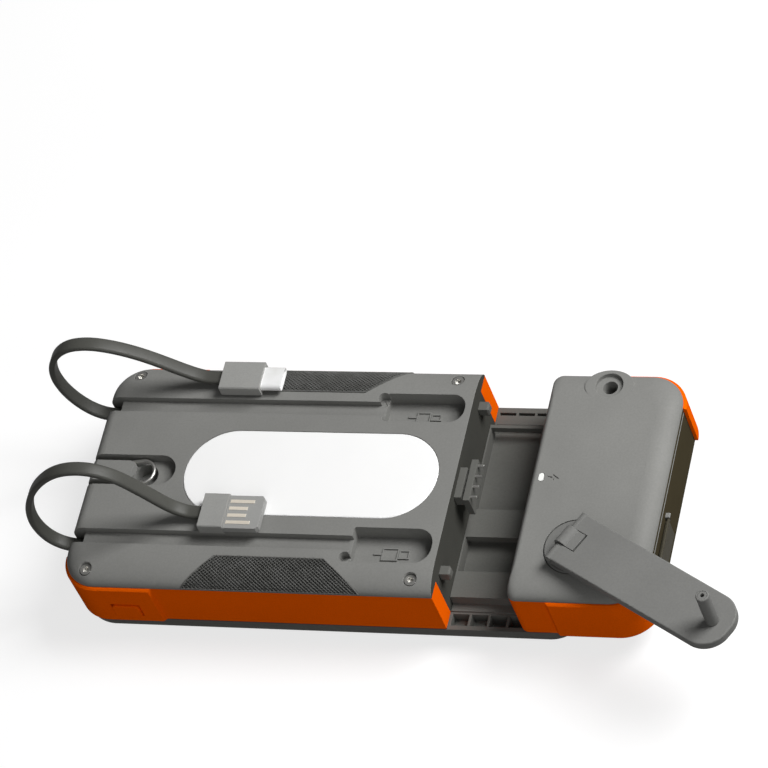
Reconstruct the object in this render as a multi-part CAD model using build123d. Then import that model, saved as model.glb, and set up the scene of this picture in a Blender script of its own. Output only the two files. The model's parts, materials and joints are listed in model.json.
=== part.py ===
from build123d import *
from math import cos, radians, sin, tan
import os

# Hand crank phone charger, opened: the crank module is slid out along its bed and both leads are out.
# Origin: centre of the flat bezel that the charger lies on. +X to the crank end, +Z up to the lamp.
# Millimetres. near is the -Y side and far the +Y side.

os.makedirs("parts", exist_ok=True)

# ---- driving dimensions ----
# body
body_length = 165.0          # closed, without the proud corner bumpers
body_width = 82.0
body_height = 30.0
corner_radius = 11.0         # plan corners of the whole body
module_length = 42.5         # crank module, without its proud corners
slide_open = 23.5            # how far the crank module stands out in this pose
module_gap = 0.3             # between the two units when shut

# walls and fits
wall = 1.8
fit = 0.1                    # gap between fixed pieces that nest
slide_clearance = 0.3        # gap between sliding faces
run_clearance = 0.05         # radial gap of a pin or shaft in its bore
screw_hole_gap = 0.5         # across a screw's clearance hole

# tray, solar side
tray_height = 8.0
bezel_round = 6.0
bed_share = 0.4              # plateau that the crank module slides on, of the body's height
bed_inset = 9.2              # plateau from the side of the body
tray_floor = 4.0             # inside the main unit
solar_margin = 9.8           # bezel width round the panel
solar_corner = 3.0
solar_sink = 0.4             # glass below the bezel face
solar_thickness = 1.6
cell_rows = 7
cell_gap = 0.6               # between two cells
cell_border = 2.0            # from the cells to the panel's edge
cell_thickness = 0.3
far_recess = (0.3, 1.2)      # guide groove: its start, and its end from the plateau's edge
near_recess = (-22.4, -9.9)
recess_floor = 7.0
undercut = 1.3               # each groove is wider by this at its foot
undercut_top = 9.8
gutter_inset = 6.4           # end of the low strip beside the bed, from the side of the body
gutter_floor = 5.2           # the strip on the far side is sunk to this
strip_height = 8.4
ladder_near_inset = (5.6, 1.5)   # rows of open pockets along both edges, from the side
ladder_far_inset = (2.9, 1.9)
ladder_floor = 4.6
ladder_pitch = 6.15
ladder_rib = 0.8
standoff_inset = (11.0, 4.4)     # from the lead end and from the end wall
standoff_y = 22.0
standoff_d = 4.0

# bumpers
bumper_drop = 4.4            # from the top face down to the bumpers' upper edge
bumper_thickness = 6.0
bumper_proud = 1.0           # corner zones stand out by this much
corner_zone = 29.5           # length of a corner zone from each end
cap_bevel = 0.6
cap_slope = 1.4              # run of the step where a corner zone starts
wrap_inset = 11.0            # dark end wall between the bumpers, from the side of the body
rib_depth = 0.5
rib_width = 1.1
rib_height = 11.0
rib_close_pitch = 3.4        # on the corner zones
rib_close_start = 13.0
rib_wide_pitch = 9.5         # along the side
rib_wide_start = 4.0

# rolled-off top
shoulder_side = 10.5         # the top rolls off over this width at the sides
shoulder_end = 4.0
shoulder_joint = 2.4         # crank module's edge beside the gap
joint_corner = 3.0           # its plan corners there
crank_end_roll = 6.5         # roll-off at the crank end

# leads, their channels and their pockets
channel_inset = 16.2         # middle of a lead's channel, from the side of the body
channel_width = 5.2
channel_depth = 2.2
channel_end_gap = 27.0       # from the end wall
lead_width = 4.6
lead_thickness = 2.0
lead_corner = 0.8
lead_exit_inset = 4.5
lead_exit_drop = 6.3         # from the top face down to the exits
relief_w = 6.0               # strain relief round a lead
relief_h = 3.4
relief_flange = 1.0
pocket_start_gap = 28.5      # plug pockets, from the end wall
pocket_end_gap = 2.2
pocket_depth = 5.6
usb_pocket_inset = (9.6, 22.0)     # from the side of the body
small_pocket_inset = (10.4, 20.7)
finger_notch_d = 3.6

# lamp
lamp_end_gap = 5.5           # from the end wall
lamp_lanyard_gap = 3.2       # from the lanyard's pocket
lamp_width = 31.4
lamp_thickness = 2.4
lamp_ledge = 1.6
lamp_ledge_width = 2.0
lamp_proud = 0.1
led_board_thickness = 1.2
led_column_count = 8
led_row_count = 3
led_size = 2.8
led_height = 0.8

# screws of the main cover
screw_lead_inset = 8.5       # from the lead end
screw_wall_inset = 7.0       # from the end wall
screw_side_inset = 4.5
screw_head_d = 3.8
screw_head_height = 2.0
screw_shank_d = 2.2
screw_sink = 1.4             # heads below the top face
screw_foot_z = 3.6

# lanyard place
lanyard_half_width = 5.6
lanyard_reach = 29.8         # these four from the lead end
lanyard_depth = 3.4
island_half_width = 3.7
island_reach = 16.7
island_drop = 0.4
eyelet_reach = 17.9
eyelet_radius = 4.3
eyelet_wire = 1.1
eyelet_sink = 1.5
well_reach = 18.9
well_radius = 4.0
well_depth = 7.8
well_wall = 1.4

# grips
grip_top_x = (-31.8, 4.0)
grip_low_x = (-42.1, 16.9)
grip_inset = 9.6
grip_proud = 0.35
grip_sink = 0.7

# power button
button_reach = 19.1          # from the lead end
button_z = 14.2
button_length = 9.2
button_height = 5.8
button_travel = 0.6
button_proud = 0.7
button_gap = 0.25
button_stem_d = 3.0
switch_inset = 8.8           # switch plunger's tip from the side of the body
switch_size = 6.0
switch_depth = 3.0

# inside the main unit
battery_inset = (26.5, 7.0)  # from the lead end and from the end wall
space_above_battery = 14.0
battery_round = 2.0
board_lift = 2.0             # board above the battery
board_thickness = 1.6
board_inset = 8.3
board_side_gap = 3.0
chip_height = 1.4
chip_spots = ((0.395, 0, 14, 12), (0.662, -12, 9, 9), (0.77, 10, 12, 7), (0.145, 10, 8, 8),
              (0.886, -4, 6, 10))     # share of the board's length, y, length, width

# docking
peg_inset = 10.8             # from the side of the body
peg_drop = 6.8               # from the top face down to the pegs' middle
peg_size = 3.1
peg_length = 3.4
peg_stem_d = 2.0
peg_hole_gap = 0.35
dock_block_width = 11.0
dock_block_height = 4.2
dock_block_length = 2.2
dock_neck_length = 0.9
dock_plate_width = 15.0
dock_plate_thickness = 2.0
dock_plate_y = 1.0
dock_drop = 2.7              # from the top face down to the connector's top
dock_root = 3.0              # its root in the end wall
pin_count = 4
pin_pitch = 3.8
pin_d = 0.9
pin_length = 2.0
pin_drop = 0.8
contact_plate_thickness = 1.6
contact_size = (2.0, 1.6)

# crank
crank_mid_y = 5.7            # middle between the hub and the knob's socket
hub_inset = 23.3             # from the crank end
hub_d = 18.8
hub_rim_gap = 0.25
hub_thickness = 2.2
hub_proud = 0.2
hub_shaft_d = 6.6
pivot_d = 4.0
hinge_height = 3.2           # hinge axis above the top face
hinge_offset = 1.5           # hinge axis behind the hub's centre
knuckle_d = 5.2              # hub's knuckle
arm_knuckle_d = 3.4
hinge_pin_d = 1.6
knuckle_gap = 0.2
arm_azimuth = -29.2
arm_width = 18.2
arm_thickness = 3.2
arm_length = 63.4            # from the hinge axis to the rounded end
arm_corner = 8.0
arm_edge_round = 0.5
notch_width = 6.7
notch_depth = 5.6
knob_inset = 6.1             # knob's axis from the arm's rounded end
knob_d = 4.1
knob_height = 14.0
knob_axle_d = 2.0
axle_head_d = 3.3
axle_cap_d = 2.8
axle_eye_d = 1.3             # blind hole in the axle's upper end
axle_eye_depth = 2.0
boss_radius = 7.8            # flat ground round the socket, oval in plan
boss_reach = 5.6
knob_bore_gap = 0.3
counterbore_radius = 4.4
counterbore_depth = 1.4
socket_wall = 1.7
socket_spare = 1.4           # socket deeper than the knob by this

# gears and generator
gear_module = 0.5
main_teeth = 36
pinion_teeth = 12
gear_width = 2.4
gear_mesh_gap = 0.45         # the teeth are cut shallow and stand just clear
gear_layer_gap = 0.4
idler_bearing = 32.0         # degrees from +Y, hub to idler and idler to rotor
rotor_bearing = -18.0
axle_d = 1.4
axle_boss_d = 4.0
generator_radius = 11.0
generator_floor = 1.0
generator_air = 0.4          # between moving and fixed parts in it

# crank module
end_wall = 2.6
module_screw_inset = (5.5, 8.0)
module_screw_side = 13.0     # from the side of the body
module_screw_d = 2.0
module_head_d = 3.6
module_head_height = 0.9
post_d = 5.0
web_thickness = 2.4
web_inset = 1.2
light_inset = 4.0            # indicator from the edge beside the gap
light_y = 0.9
light_length = 2.9
light_width = 1.65
light_foot = (3.2, 4.4)
icon_inset = 7.8
icon_size = 2.1
icon_depth = 0.3
groove_drop = 1.2            # line along the end wall, below the bumpers' upper edge
groove_width = 0.7

# charging port
port_y = -14.0
port_lift = 4.6              # port's middle above the plateau
port_flap_width = 14.0
port_flap_height = 8.4
port_flap_thickness = 1.0
port_hole_width = 9.6
port_hole_height = 3.8
port_hinge_d = 1.0
port_ear_width = 1.6
port_shell = (9.0, 3.2)
port_shell_wall = 0.35
port_depth = 7.0

# plugs
usb_plug_reach = 44.1        # plug's root from the lead end
usb_plug_y = -16.8
usb_plug_length = 8.2
usb_plug_width = 12.4
usb_plug_height = 4.1
usb_tongue_length = 11.6
usb_tongue_width = 12.0
usb_tongue_height = 2.2
usb_contact_pitch = 2.55
usb_contact_width = 1.2
usb_contact_lengths = (8.0, 6.2, 6.2, 8.0)
usb_contact_thickness = 0.12
usb_contact_start = 0.6
small_plug_reach = 38.9
small_plug_y = 33.6
small_plug_length = 13.6
small_plug_width = 10.4
small_plug_height = 4.2
small_plug_lift = 0.5        # it lies across the edge of the grip pad
plug_lift = 0.1
small_shell_length = 6.6
small_shell_width = 8.3
small_shell_height = 2.6
small_shell_wall = 0.35
small_tongue_size = (6.4, 0.7)

# ---- derived places ----
half_l = body_length / 2
half_w = body_width / 2
cut_x = half_l - module_length           # end wall of the main unit, where the crank module docks
slide_travel = slide_open - module_gap
crank_x0 = cut_x + slide_open            # crank module's face beside the gap
crank_x1 = half_l + slide_open           # its far end
wall_y = half_w - bumper_thickness       # inner units' straight sides
inside_y = wall_y - wall
cavity_x0 = -half_l + bumper_thickness + wall
inside_top = body_height - lamp_thickness - lamp_ledge
bumper_bottom = tray_height + slide_clearance
bumper_top = body_height - bumper_drop
bumper_wrap = half_w - wrap_inset
battery_height = body_height - tray_floor - space_above_battery
solar_x = half_l - solar_margin
solar_y = half_w - solar_margin
bed_height = bed_share * body_height
bed_half_width = half_w - bed_inset
gutter_step = half_w - gutter_inset
recess_bands = ((far_recess[0], bed_half_width - far_recess[1]), near_recess)
ladder_near = tuple(half_w - inset for inset in ladder_near_inset)
ladder_far = tuple(half_w - inset for inset in ladder_far_inset)
standoff_x = (-half_l + standoff_inset[0], cut_x - standoff_inset[1])
bed_x0 = cut_x + fit
bed_end_x = crank_x1 - slide_travel - end_wall - slide_clearance
board_z = tray_floor + battery_height + board_lift
board_x1 = cut_x - wall - 4 * fit
board_x0 = -half_l + board_inset
battery_x0 = -half_l + battery_inset[0]
battery_x1 = cut_x - battery_inset[1]
lead_exit_x = -half_l + lead_exit_inset
lead_exit_z = body_height - lead_exit_drop
channel_y = half_w - channel_inset
channel_end_x = cut_x - channel_end_gap
pocket_start_x = cut_x - pocket_start_gap
pocket_end_x = cut_x - pocket_end_gap
usb_pocket_outer, usb_pocket_inner = [half_w - inset for inset in usb_pocket_inset]
small_pocket_outer, small_pocket_inner = [half_w - inset for inset in small_pocket_inset]
lanyard_end_x = -half_l + lanyard_reach
island_end_x = -half_l + island_reach
eyelet_x = -half_l + eyelet_reach
well_x = -half_l + well_reach
lamp_length = cut_x - lamp_end_gap - lanyard_end_x - lamp_lanyard_gap
lamp_x = cut_x - lamp_end_gap - lamp_length / 2
grip_inner_y = half_w - grip_inset
button_x = -half_l + button_reach
switch_face = half_w - switch_inset
screw_x_left = -half_l + screw_lead_inset
screw_x_right = cut_x - screw_wall_inset
screw_y = half_w - screw_side_inset
screw_head_top = body_height - screw_sink
peg_y = half_w - peg_inset
peg_z = body_height - peg_drop
dock_top = body_height - dock_drop
dock_bottom = dock_top - dock_block_height
dock_neck_x = cut_x + dock_block_length
dock_plate_x = dock_neck_x + dock_neck_length
dock_face_x = dock_plate_x + dock_plate_thickness
crank_ceiling = body_height - wall
base_bottom = bed_height + slide_clearance
base_top = base_bottom + wall

hub_x = crank_x1 - hub_inset
knob_reach = arm_length - knob_inset     # hinge axis to knob
socket_distance = knob_reach + hinge_offset
hub_y = crank_mid_y - socket_distance / 2
socket_y = crank_mid_y + socket_distance / 2
hinge_z = body_height + hinge_height
hinge_u = -hinge_offset
hub_hole_r = hub_d / 2 + hub_rim_gap
hub_boss_r = hub_hole_r + wall
hub_top = body_height + hub_proud
hub_bottom = hub_top - hub_thickness
hub_seat = hub_bottom - slide_clearance
pivot_bottom = base_top + slide_clearance
socket_bore = knob_d + 2 * knob_bore_gap
socket_tube = socket_bore + 2 * socket_wall
shaft_hole = 5.4
socket_floor = hinge_z - arm_thickness / 2 - knob_height - socket_spare

gear_z_low = hub_seat - wall - 2 * (gear_width + gear_layer_gap)
gear_z_high = gear_z_low + gear_width + gear_layer_gap
main_pitch_r = gear_module * main_teeth / 2
pinion_pitch_r = gear_module * pinion_teeth / 2
half_tooth = 180 / pinion_teeth
gear_step = main_pitch_r + pinion_pitch_r + gear_mesh_gap
idler_x = hub_x + gear_step * sin(radians(idler_bearing))
idler_y = hub_y + gear_step * cos(radians(idler_bearing))
rotor_x = idler_x + gear_step * sin(radians(rotor_bearing))
rotor_y = idler_y + gear_step * cos(radians(rotor_bearing))
generator_bottom = base_top + fit
generator_top = gear_z_low - generator_air - fit

module_screw_x = (crank_x0 + module_screw_inset[0], crank_x1 - module_screw_inset[1])
light_x = crank_x0 + light_inset
icon_x = crank_x0 + icon_inset
contact_x = crank_x0 + dock_face_x + pin_length - cut_x + 0.5
keel_x0 = crank_x0 + wall + fit
keel_x1 = crank_x1 - end_wall - 4 * fit
module_screw_y = half_w - module_screw_side
port_z = bed_height + port_lift
port_axis_x = crank_x1 + 0.9
port_axis_z = port_z + port_flap_height / 2 - 0.4
main_end_zone = (-half_l - 5, -half_l + bumper_thickness)
crank_end_zone = (crank_x1 + 5, crank_x1 - bumper_thickness)

# Leads: routes from the exit up and back over the top to the plug, chosen by hand.
usb_plug_x = -half_l + usb_plug_reach
small_plug_x = -half_l + small_plug_reach
usb_plug_z = body_height + plug_lift + usb_plug_height / 2
small_plug_z = body_height + small_plug_lift + small_plug_height / 2

usb_lead_route = [
    (lead_exit_x, -channel_y, lead_exit_z),
    (-half_l, -channel_y, lead_exit_z),
    (-half_l - 4.8, -24.9, body_height - 3.8),
    (-half_l - 8.1, -24.8, body_height + 1.0),
    (-half_l - 9.4, -24.5, body_height + 8.6),
    (-half_l - 7.5, -23.8, body_height + 17.4),
    (-half_l - 2.1, -22.8, body_height + 25.8),
    (-half_l + 6.1, -21.6, body_height + 31.6),
    (-half_l + 15.3, -20.3, body_height + 31.2),
    (-half_l + 22.9, -19.0, body_height + 25.2),
    (-half_l + 27.9, -18.1, body_height + 17.2),
    (-half_l + 32.0, -17.4, body_height + 10.0),
    (-half_l + 34.7, -17.0, body_height + 5.8),
    (-half_l + 37.7, -16.8, body_height + 3.3),
    (-half_l + 40.7, usb_plug_y, usb_plug_z),
    (usb_plug_x, usb_plug_y, usb_plug_z),
]
small_lead_route = [
    (lead_exit_x, channel_y, lead_exit_z),
    (-half_l - 0.3, channel_y, lead_exit_z),
    (-half_l - 5.4, 25.0, body_height - 4.1),
    (-half_l - 9.8, 25.5, body_height + 0.4),
    (-half_l - 13.1, 26.2, body_height + 6.8),
    (-half_l - 14.3, 27.2, body_height + 14.0),
    (-half_l - 11.9, 28.1, body_height + 21.0),
    (-half_l - 6.4, 29.1, body_height + 25.5),
    (-half_l + 0.7, 30.2, body_height + 25.6),
    (-half_l + 7.9, 31.5, body_height + 22.0),
    (-half_l + 14.7, 32.6, body_height + 17.0),
    (-half_l + 20.7, 33.2, body_height + 11.9),
    (-half_l + 25.9, 33.5, body_height + 7.4),
    (-half_l + 30.3, 33.6, body_height + 4.3),
    (-half_l + 34.6, small_plug_y, small_plug_z),
    (small_plug_x, small_plug_y, small_plug_z),
]


def block(x0, x1, y0, y1, z0, z1):
    """Box between two corners."""
    size = Box(x1 - x0, y1 - y0, z1 - z0)
    return Pos((x0 + x1) / 2, (y0 + y1) / 2, (z0 + z1) / 2) * size


def rod(x, y, z0, z1, d):
    """Upright cylinder."""
    return Pos(x, y, (z0 + z1) / 2) * Cylinder(d / 2, z1 - z0)


def rod_x(x0, x1, y, z, d):
    """Cylinder along X."""
    return Pos((x0 + x1) / 2, y, z) * Rot(0, 90, 0) * Cylinder(d / 2, x1 - x0)


def rod_y(x, y0, y1, z, d):
    """Cylinder along Y."""
    return Pos(x, (y0 + y1) / 2, z) * Rot(90, 0, 0) * Cylinder(d / 2, y1 - y0)


def plan(x0, x1, half_y, r0, r1):
    """Rounded outline: corner radius r0 at the low-X end and r1 at the high-X end."""
    sheet = Pos((x0 + x1) / 2, 0) * Rectangle(x1 - x0, 2 * half_y)
    ends = sheet.vertices().group_by(Axis.X)
    sheet = fillet(ends[0], r0)
    ends = sheet.vertices().group_by(Axis.X)
    return fillet(ends[-1], r1)


def slab(x0, x1, half_y, r0, r1, z0, z1):
    """Upright prism on that outline."""
    return extrude(Pos(0, 0, z0) * plan(x0, x1, half_y, r0, r1), z1 - z0)


def stadium(x, y, length, width, z0, z1):
    """Long slot shape along X."""
    return extrude(Pos(x, y, z0) * SlotOverall(length, width), z1 - z0)


def shoulder(x0, x1, r0, r1, roll0, roll1, grow=0.0):
    """Body with a rolled-off top, from the bumpers' foot to the top face; grow offsets its skin."""
    sections = []
    for angle in (0, 22, 42, 60, 76, 90):
        inset = 1 - cos(radians(angle))
        z = bumper_top + (body_height + grow - bumper_top) * sin(radians(angle))
        outline = plan(
            x0 - grow + roll0 * inset,
            x1 + grow - roll1 * inset,
            half_w + grow - shoulder_side * inset,
            r0 * (1 - 0.45 * inset),
            r1 * (1 - 0.45 * inset),
        )
        sections.append(Pos(0, 0, z) * outline)
    top = loft(sections)
    return slab(x0 - grow, x1 + grow, half_w + grow, r0, r1, bumper_bottom, bumper_top) + top


def main_skin(grow=0.0):
    """Skin of the main unit, square at the end wall."""
    x1 = cut_x + module_length
    whole = shoulder(-half_l, x1, corner_radius, corner_radius, shoulder_end, shoulder_end, grow)
    return whole - block(cut_x, x1 + module_length, -2 * half_w, 2 * half_w, 0, 2 * body_height)


def crank_skin(grow=0.0):
    """Skin of the crank module."""
    return shoulder(crank_x0, crank_x1, joint_corner, corner_radius, shoulder_joint, crank_end_roll, grow)


def side_zone(sign, x0, x1, end_x, inner_x, grow=0.0):
    """Space of one bumper: along the side and round the end corner."""
    far = half_w + 8
    side = block(x0, x1, min(sign * (wall_y - grow), sign * far), max(sign * (wall_y - grow), sign * far),
                 bumper_bottom - 1, bumper_top + grow)
    wrap_y = bumper_wrap - grow
    corner = block(min(end_x, inner_x), max(end_x, inner_x), min(sign * wrap_y, sign * far),
                   max(sign * wrap_y, sign * far), bumper_bottom - 1, bumper_top + grow)
    return side + corner


def main_zone(sign, grow=0.0):
    end_x, inner_x = main_end_zone
    return side_zone(sign, -half_l - 5, cut_x + 5, end_x, inner_x + grow, grow)


def crank_zone(sign, grow=0.0):
    end_x, inner_x = crank_end_zone
    return side_zone(sign, crank_x0 - 5, crank_x1 + 5, end_x, inner_x - grow, grow)


def corner_cap(end_x, step_x, sign_x):
    """Proud corner zone: the body's outline grown outward, with a bevelled step."""
    x0, x1 = sorted((end_x + sign_x * bumper_proud, step_x - sign_x * corner_radius * 2))
    r0 = corner_radius + bumper_proud if sign_x < 0 else 1.0
    r1 = corner_radius + bumper_proud if sign_x > 0 else 1.0
    cap = slab(x0, x1, half_w + bumper_proud, r0, r1, bumper_bottom, bumper_top)
    rim = cap.edges().group_by(Axis.Z)[-1]
    cap = chamfer(rim, cap_bevel)
    wedge_x = step_x - sign_x * cap_slope
    keep = Polyline(
        (end_x + sign_x * 9, -half_w - 9), (wedge_x + sign_x * cap_slope, -half_w - 9),
        (step_x, -half_w - bumper_proud), (wedge_x, -half_w + 0.4), (wedge_x, half_w - 0.4),
        (step_x, half_w + bumper_proud), (wedge_x + sign_x * cap_slope, half_w + 9),
        (end_x + sign_x * 9, half_w + 9), close=True,
    )
    return cap & extrude(make_face(keep), body_height + 9)


def ribs(sign, xs, y):
    """Upright grip grooves in a bumper's side."""
    cut = None
    middle = (bumper_bottom + bumper_top) / 2
    for x in xs:
        groove = block(x - rib_width / 2, x + rib_width / 2, y - rib_depth, y + 3,
                       middle - rib_height / 2, middle + rib_height / 2)
        groove = groove if sign > 0 else mirror(groove, Plane.XZ)
        cut = groove if cut is None else cut + groove
    return cut


def put(name, shape):
    """Write one sub-part and say what it holds."""
    solids = shape.solids()
    bad = [s for s in solids if not s.is_valid]
    print(f"{name:26s} solids {len(solids):3d}  volume {shape.volume:10.1f}  invalid {len(bad)}")
    export_step(Compound(children=solids) if len(solids) > 1 else solids[0], f"parts/{name}.step")


# ---- tray ----
def tray_frame():
    tray = slab(-half_l, half_l, half_w, corner_radius, corner_radius, 0, tray_height)
    tray = fillet(tray.edges().group_by(Axis.Z)[0], bezel_round)
    tray -= slab(-solar_x, solar_x, solar_y, solar_corner, solar_corner,
                 -1, solar_sink + solar_thickness + cell_thickness)
    tray -= block(cavity_x0, cut_x - wall, -inside_y, inside_y, tray_floor, tray_height + 1)
    bed = block(bed_x0, bed_end_x, -bed_half_width, bed_half_width, tray_height - 2, bed_height)
    bed += block(bed_x0, bed_end_x, -gutter_step, gutter_step, tray_height - 2, strip_height)
    above = block(bed_x0, crank_x1, -half_w, half_w, tray_height, body_height)
    for sign in (-1, 1):
        bed -= Pos(-slide_travel, 0, 0) * crank_zone(sign, slide_clearance) & above
    tray += bed
    groove_x = bed_x0 + 5 * fit
    for y0, y1 in recess_bands:
        tray -= block(groove_x, half_l + 5, y0, y1, recess_floor, bed_height + 1)
        tray -= block(groove_x, half_l + 5, y0 - undercut, y1 + undercut, recess_floor, undercut_top)
    tray -= block(groove_x, bed_end_x, bed_half_width, gutter_step, gutter_floor, bed_height)
    x = cut_x + ladder_rib
    while x + ladder_pitch < bed_end_x - corner_radius:
        for y0, y1 in ((-ladder_near[1], -ladder_near[0]), ladder_far):
            tray -= block(x, x + ladder_pitch - ladder_rib, y0, y1, ladder_floor, tray_height + 1)
        x += ladder_pitch
    for x in standoff_x:
        for y in (-standoff_y, standoff_y):
            tray += rod(x, y, tray_floor - 0.5, board_z, standoff_d)
    for x in (screw_x_left, screw_x_right):
        for y in (-screw_y, screw_y):
            tray -= rod(x, y, screw_foot_z - 2 * fit, tray_height + 1, screw_shank_d + 2 * run_clearance)
    return tray


def solar_panel():
    z0 = solar_sink
    r = solar_corner - fit
    return slab(-solar_x + fit, solar_x - fit, solar_y - fit, r, r, z0, z0 + solar_thickness)


def solar_cells():
    cell_l = 2 * (solar_x - cell_border) / cell_rows
    cell_w = solar_y - cell_border - cell_gap
    z0 = solar_sink + solar_thickness
    cells = []
    for row in range(cell_rows):
        for side in (-1, 1):
            x = -solar_x + cell_border + cell_l * (row + 0.5)
            y = side * (cell_w / 2 + cell_gap)
            half = (cell_l - cell_gap) / 2
            cells.append(block(x - half, x + half, y - cell_w / 2, y + cell_w / 2,
                               z0, z0 + cell_thickness - 0.02))
    return Compound(children=cells)


# ---- main unit ----
def grip_outline(sign, gap=0.0):
    """Plan shape of a side grip: a trapezoid that widens down the shoulder."""
    outer_y = half_w + 3
    spread = (outer_y - grip_inner_y) / (half_w - grip_inner_y)
    low = [t + (b - t) * spread for t, b in zip(grip_top_x, grip_low_x)]
    points = [
        (grip_top_x[0] - gap, sign * (grip_inner_y - gap)),
        (grip_top_x[1] + gap, sign * (grip_inner_y - gap)),
        (low[1] + gap, sign * outer_y),
        (low[0] - gap, sign * outer_y),
    ]
    return extrude(Pos(0, 0, bumper_top + 0.5) * make_face(Polyline(*points, close=True)), 9)


def main_back_cover():
    cover = main_skin()
    for sign in (-1, 1):
        cover -= main_zone(sign, fit)
    cover -= block(cavity_x0, cut_x - wall, -inside_y, inside_y, 0, inside_top)
    cover -= block(-half_l + wall + 2, cavity_x0 + 1, -bumper_wrap + 4, bumper_wrap - 4, 0, lead_exit_z - 4)
    # lamp opening on its ledge
    cover -= stadium(lamp_x, 0, lamp_length, lamp_width, body_height - lamp_thickness, body_height + 2)
    ledge = 2 * lamp_ledge_width
    cover -= stadium(lamp_x, 0, lamp_length - ledge, lamp_width - ledge, inside_top - 1, body_height)
    # lead channels along the top, over the end and down to the exits
    for sign in (-1, 1):
        y0 = sign * channel_y - channel_width / 2
        y1 = sign * channel_y + channel_width / 2
        cover -= block(-half_l - 2, channel_end_x, y0, y1, body_height - channel_depth, body_height + 2)
        cover -= block(-half_l - 2, lead_exit_x, y0, y1, lead_exit_z - 2.0, body_height + 2)
        cover -= block(lead_exit_x - 1, cavity_x0 + 1, sign * channel_y - relief_w / 2 - fit,
                       sign * channel_y + relief_w / 2 + fit, lead_exit_z - relief_h / 2 - fit,
                       lead_exit_z + relief_h / 2 + fit)
    # plug pockets, round at the crank end on the outer side
    cover += block(pocket_start_x - 3, cut_x - wall, -usb_pocket_outer - wall, -usb_pocket_inner + wall,
                   body_height - pocket_depth - wall, inside_top + 0.1)
    cover += block(pocket_start_x - 3, cut_x - wall, small_pocket_inner - wall, small_pocket_outer + wall,
                   body_height - pocket_depth - wall, inside_top + 0.1)
    cover -= plug_pocket(-usb_pocket_outer, -usb_pocket_inner, 5.5)
    cover -= plug_pocket(small_pocket_inner, small_pocket_outer, 4.6)
    # lanyard pocket, island and well
    floor = body_height - lanyard_depth
    pocket_len = lanyard_end_x + half_l + 10
    pocket = stadium(lanyard_end_x - pocket_len / 2, 0, pocket_len, 2 * lanyard_half_width,
                     floor, body_height + 2)
    island_len = island_end_x + half_l + 10
    pocket -= stadium(island_end_x - island_len / 2, 0, island_len, 2 * island_half_width,
                      floor - 1, body_height - island_drop)
    well_floor = body_height - well_depth
    cover += rod(well_x, 0, well_floor - well_wall, inside_top + 0.1, 2 * (well_radius + well_wall))
    cover -= pocket
    cover -= rod(well_x, 0, well_floor, body_height - island_drop - 0.01, 2 * well_radius)
    cover -= eyelet(eyelet_wire + 2 * run_clearance)
    # screws
    for x in (screw_x_left, screw_x_right):
        for y in (-screw_y, screw_y):
            seat = screw_head_top - screw_head_height - fit
            cover -= rod(x, y, seat, body_height + 2, screw_head_d + screw_hole_gap)
            cover -= rod(x, y, bumper_top - 3, body_height, screw_shank_d + screw_hole_gap)
    # grips
    for sign in (-1, 1):
        cover -= grip_outline(sign, fit) - main_skin(-grip_sink - fit)
    # power button stem
    cover -= rod_y(button_x, -wall_y - 1, -inside_y + 1, button_z, button_stem_d + 2 * button_gap)
    # dock connector and pegs
    cover -= block(cut_x - dock_root - fit, cut_x + 1, -dock_block_width / 2 - fit, dock_block_width / 2 + fit,
                   dock_bottom - fit, dock_top + fit)
    for sign in (-1, 1):
        cover -= rod_x(cut_x - wall - 1, cut_x + 1, sign * peg_y, peg_z, peg_stem_d + 2 * fit)
    return cover


def plug_pocket(y0, y1, corner):
    """Pocket for one plug, with a small hook notch at its channel end."""
    shape = Pos((pocket_start_x + pocket_end_x) / 2, (y0 + y1) / 2) * Rectangle(
        pocket_end_x - pocket_start_x, y1 - y0)
    ends = shape.vertices().group_by(Axis.X)
    shape = fillet(ends[-1], corner)
    ends = shape.vertices().group_by(Axis.X)
    shape = fillet(ends[0], 0.8)
    pocket = extrude(Pos(0, 0, body_height - pocket_depth) * shape, pocket_depth + 2)
    outer = y0 if y0 < 0 else y1
    inward = -1 if outer > 0 else 1
    notch = Pos(pocket_start_x - 1.0, outer + inward * 1.6, body_height)
    return pocket + notch * Cylinder(finger_notch_d / 2, 2 * (pocket_depth - 2.4))


def eyelet_path():
    """Bent wire: in from the island, round over the well and back."""
    z = body_height - eyelet_sink
    a = Vector(island_end_x - 3.0, eyelet_radius - 0.6, z)
    b = Vector(eyelet_x, eyelet_radius, z)
    c = Vector(eyelet_x + eyelet_radius, 0, z)
    d = Vector(eyelet_x, -eyelet_radius, z)
    e = Vector(island_end_x - 3.0, -eyelet_radius + 0.6, z)
    bend = ThreePointArc(b, c, d)
    return Line(a, b), bend, Line(d, e)


def eyelet(d):
    """The wire at a diameter, or the way that it needs in the cover."""
    first, bend, last = eyelet_path()
    solid = None
    for piece in (first, bend, last):
        disc = Plane(piece @ 0, z_dir=piece % 0) * Circle(d / 2)
        span = sweep(disc, path=piece)
        solid = span if solid is None else solid + span
    for point in (first @ 1, last @ 0):
        solid += Pos(point.X, point.Y, point.Z) * Sphere(d / 2)
    return solid


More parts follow.
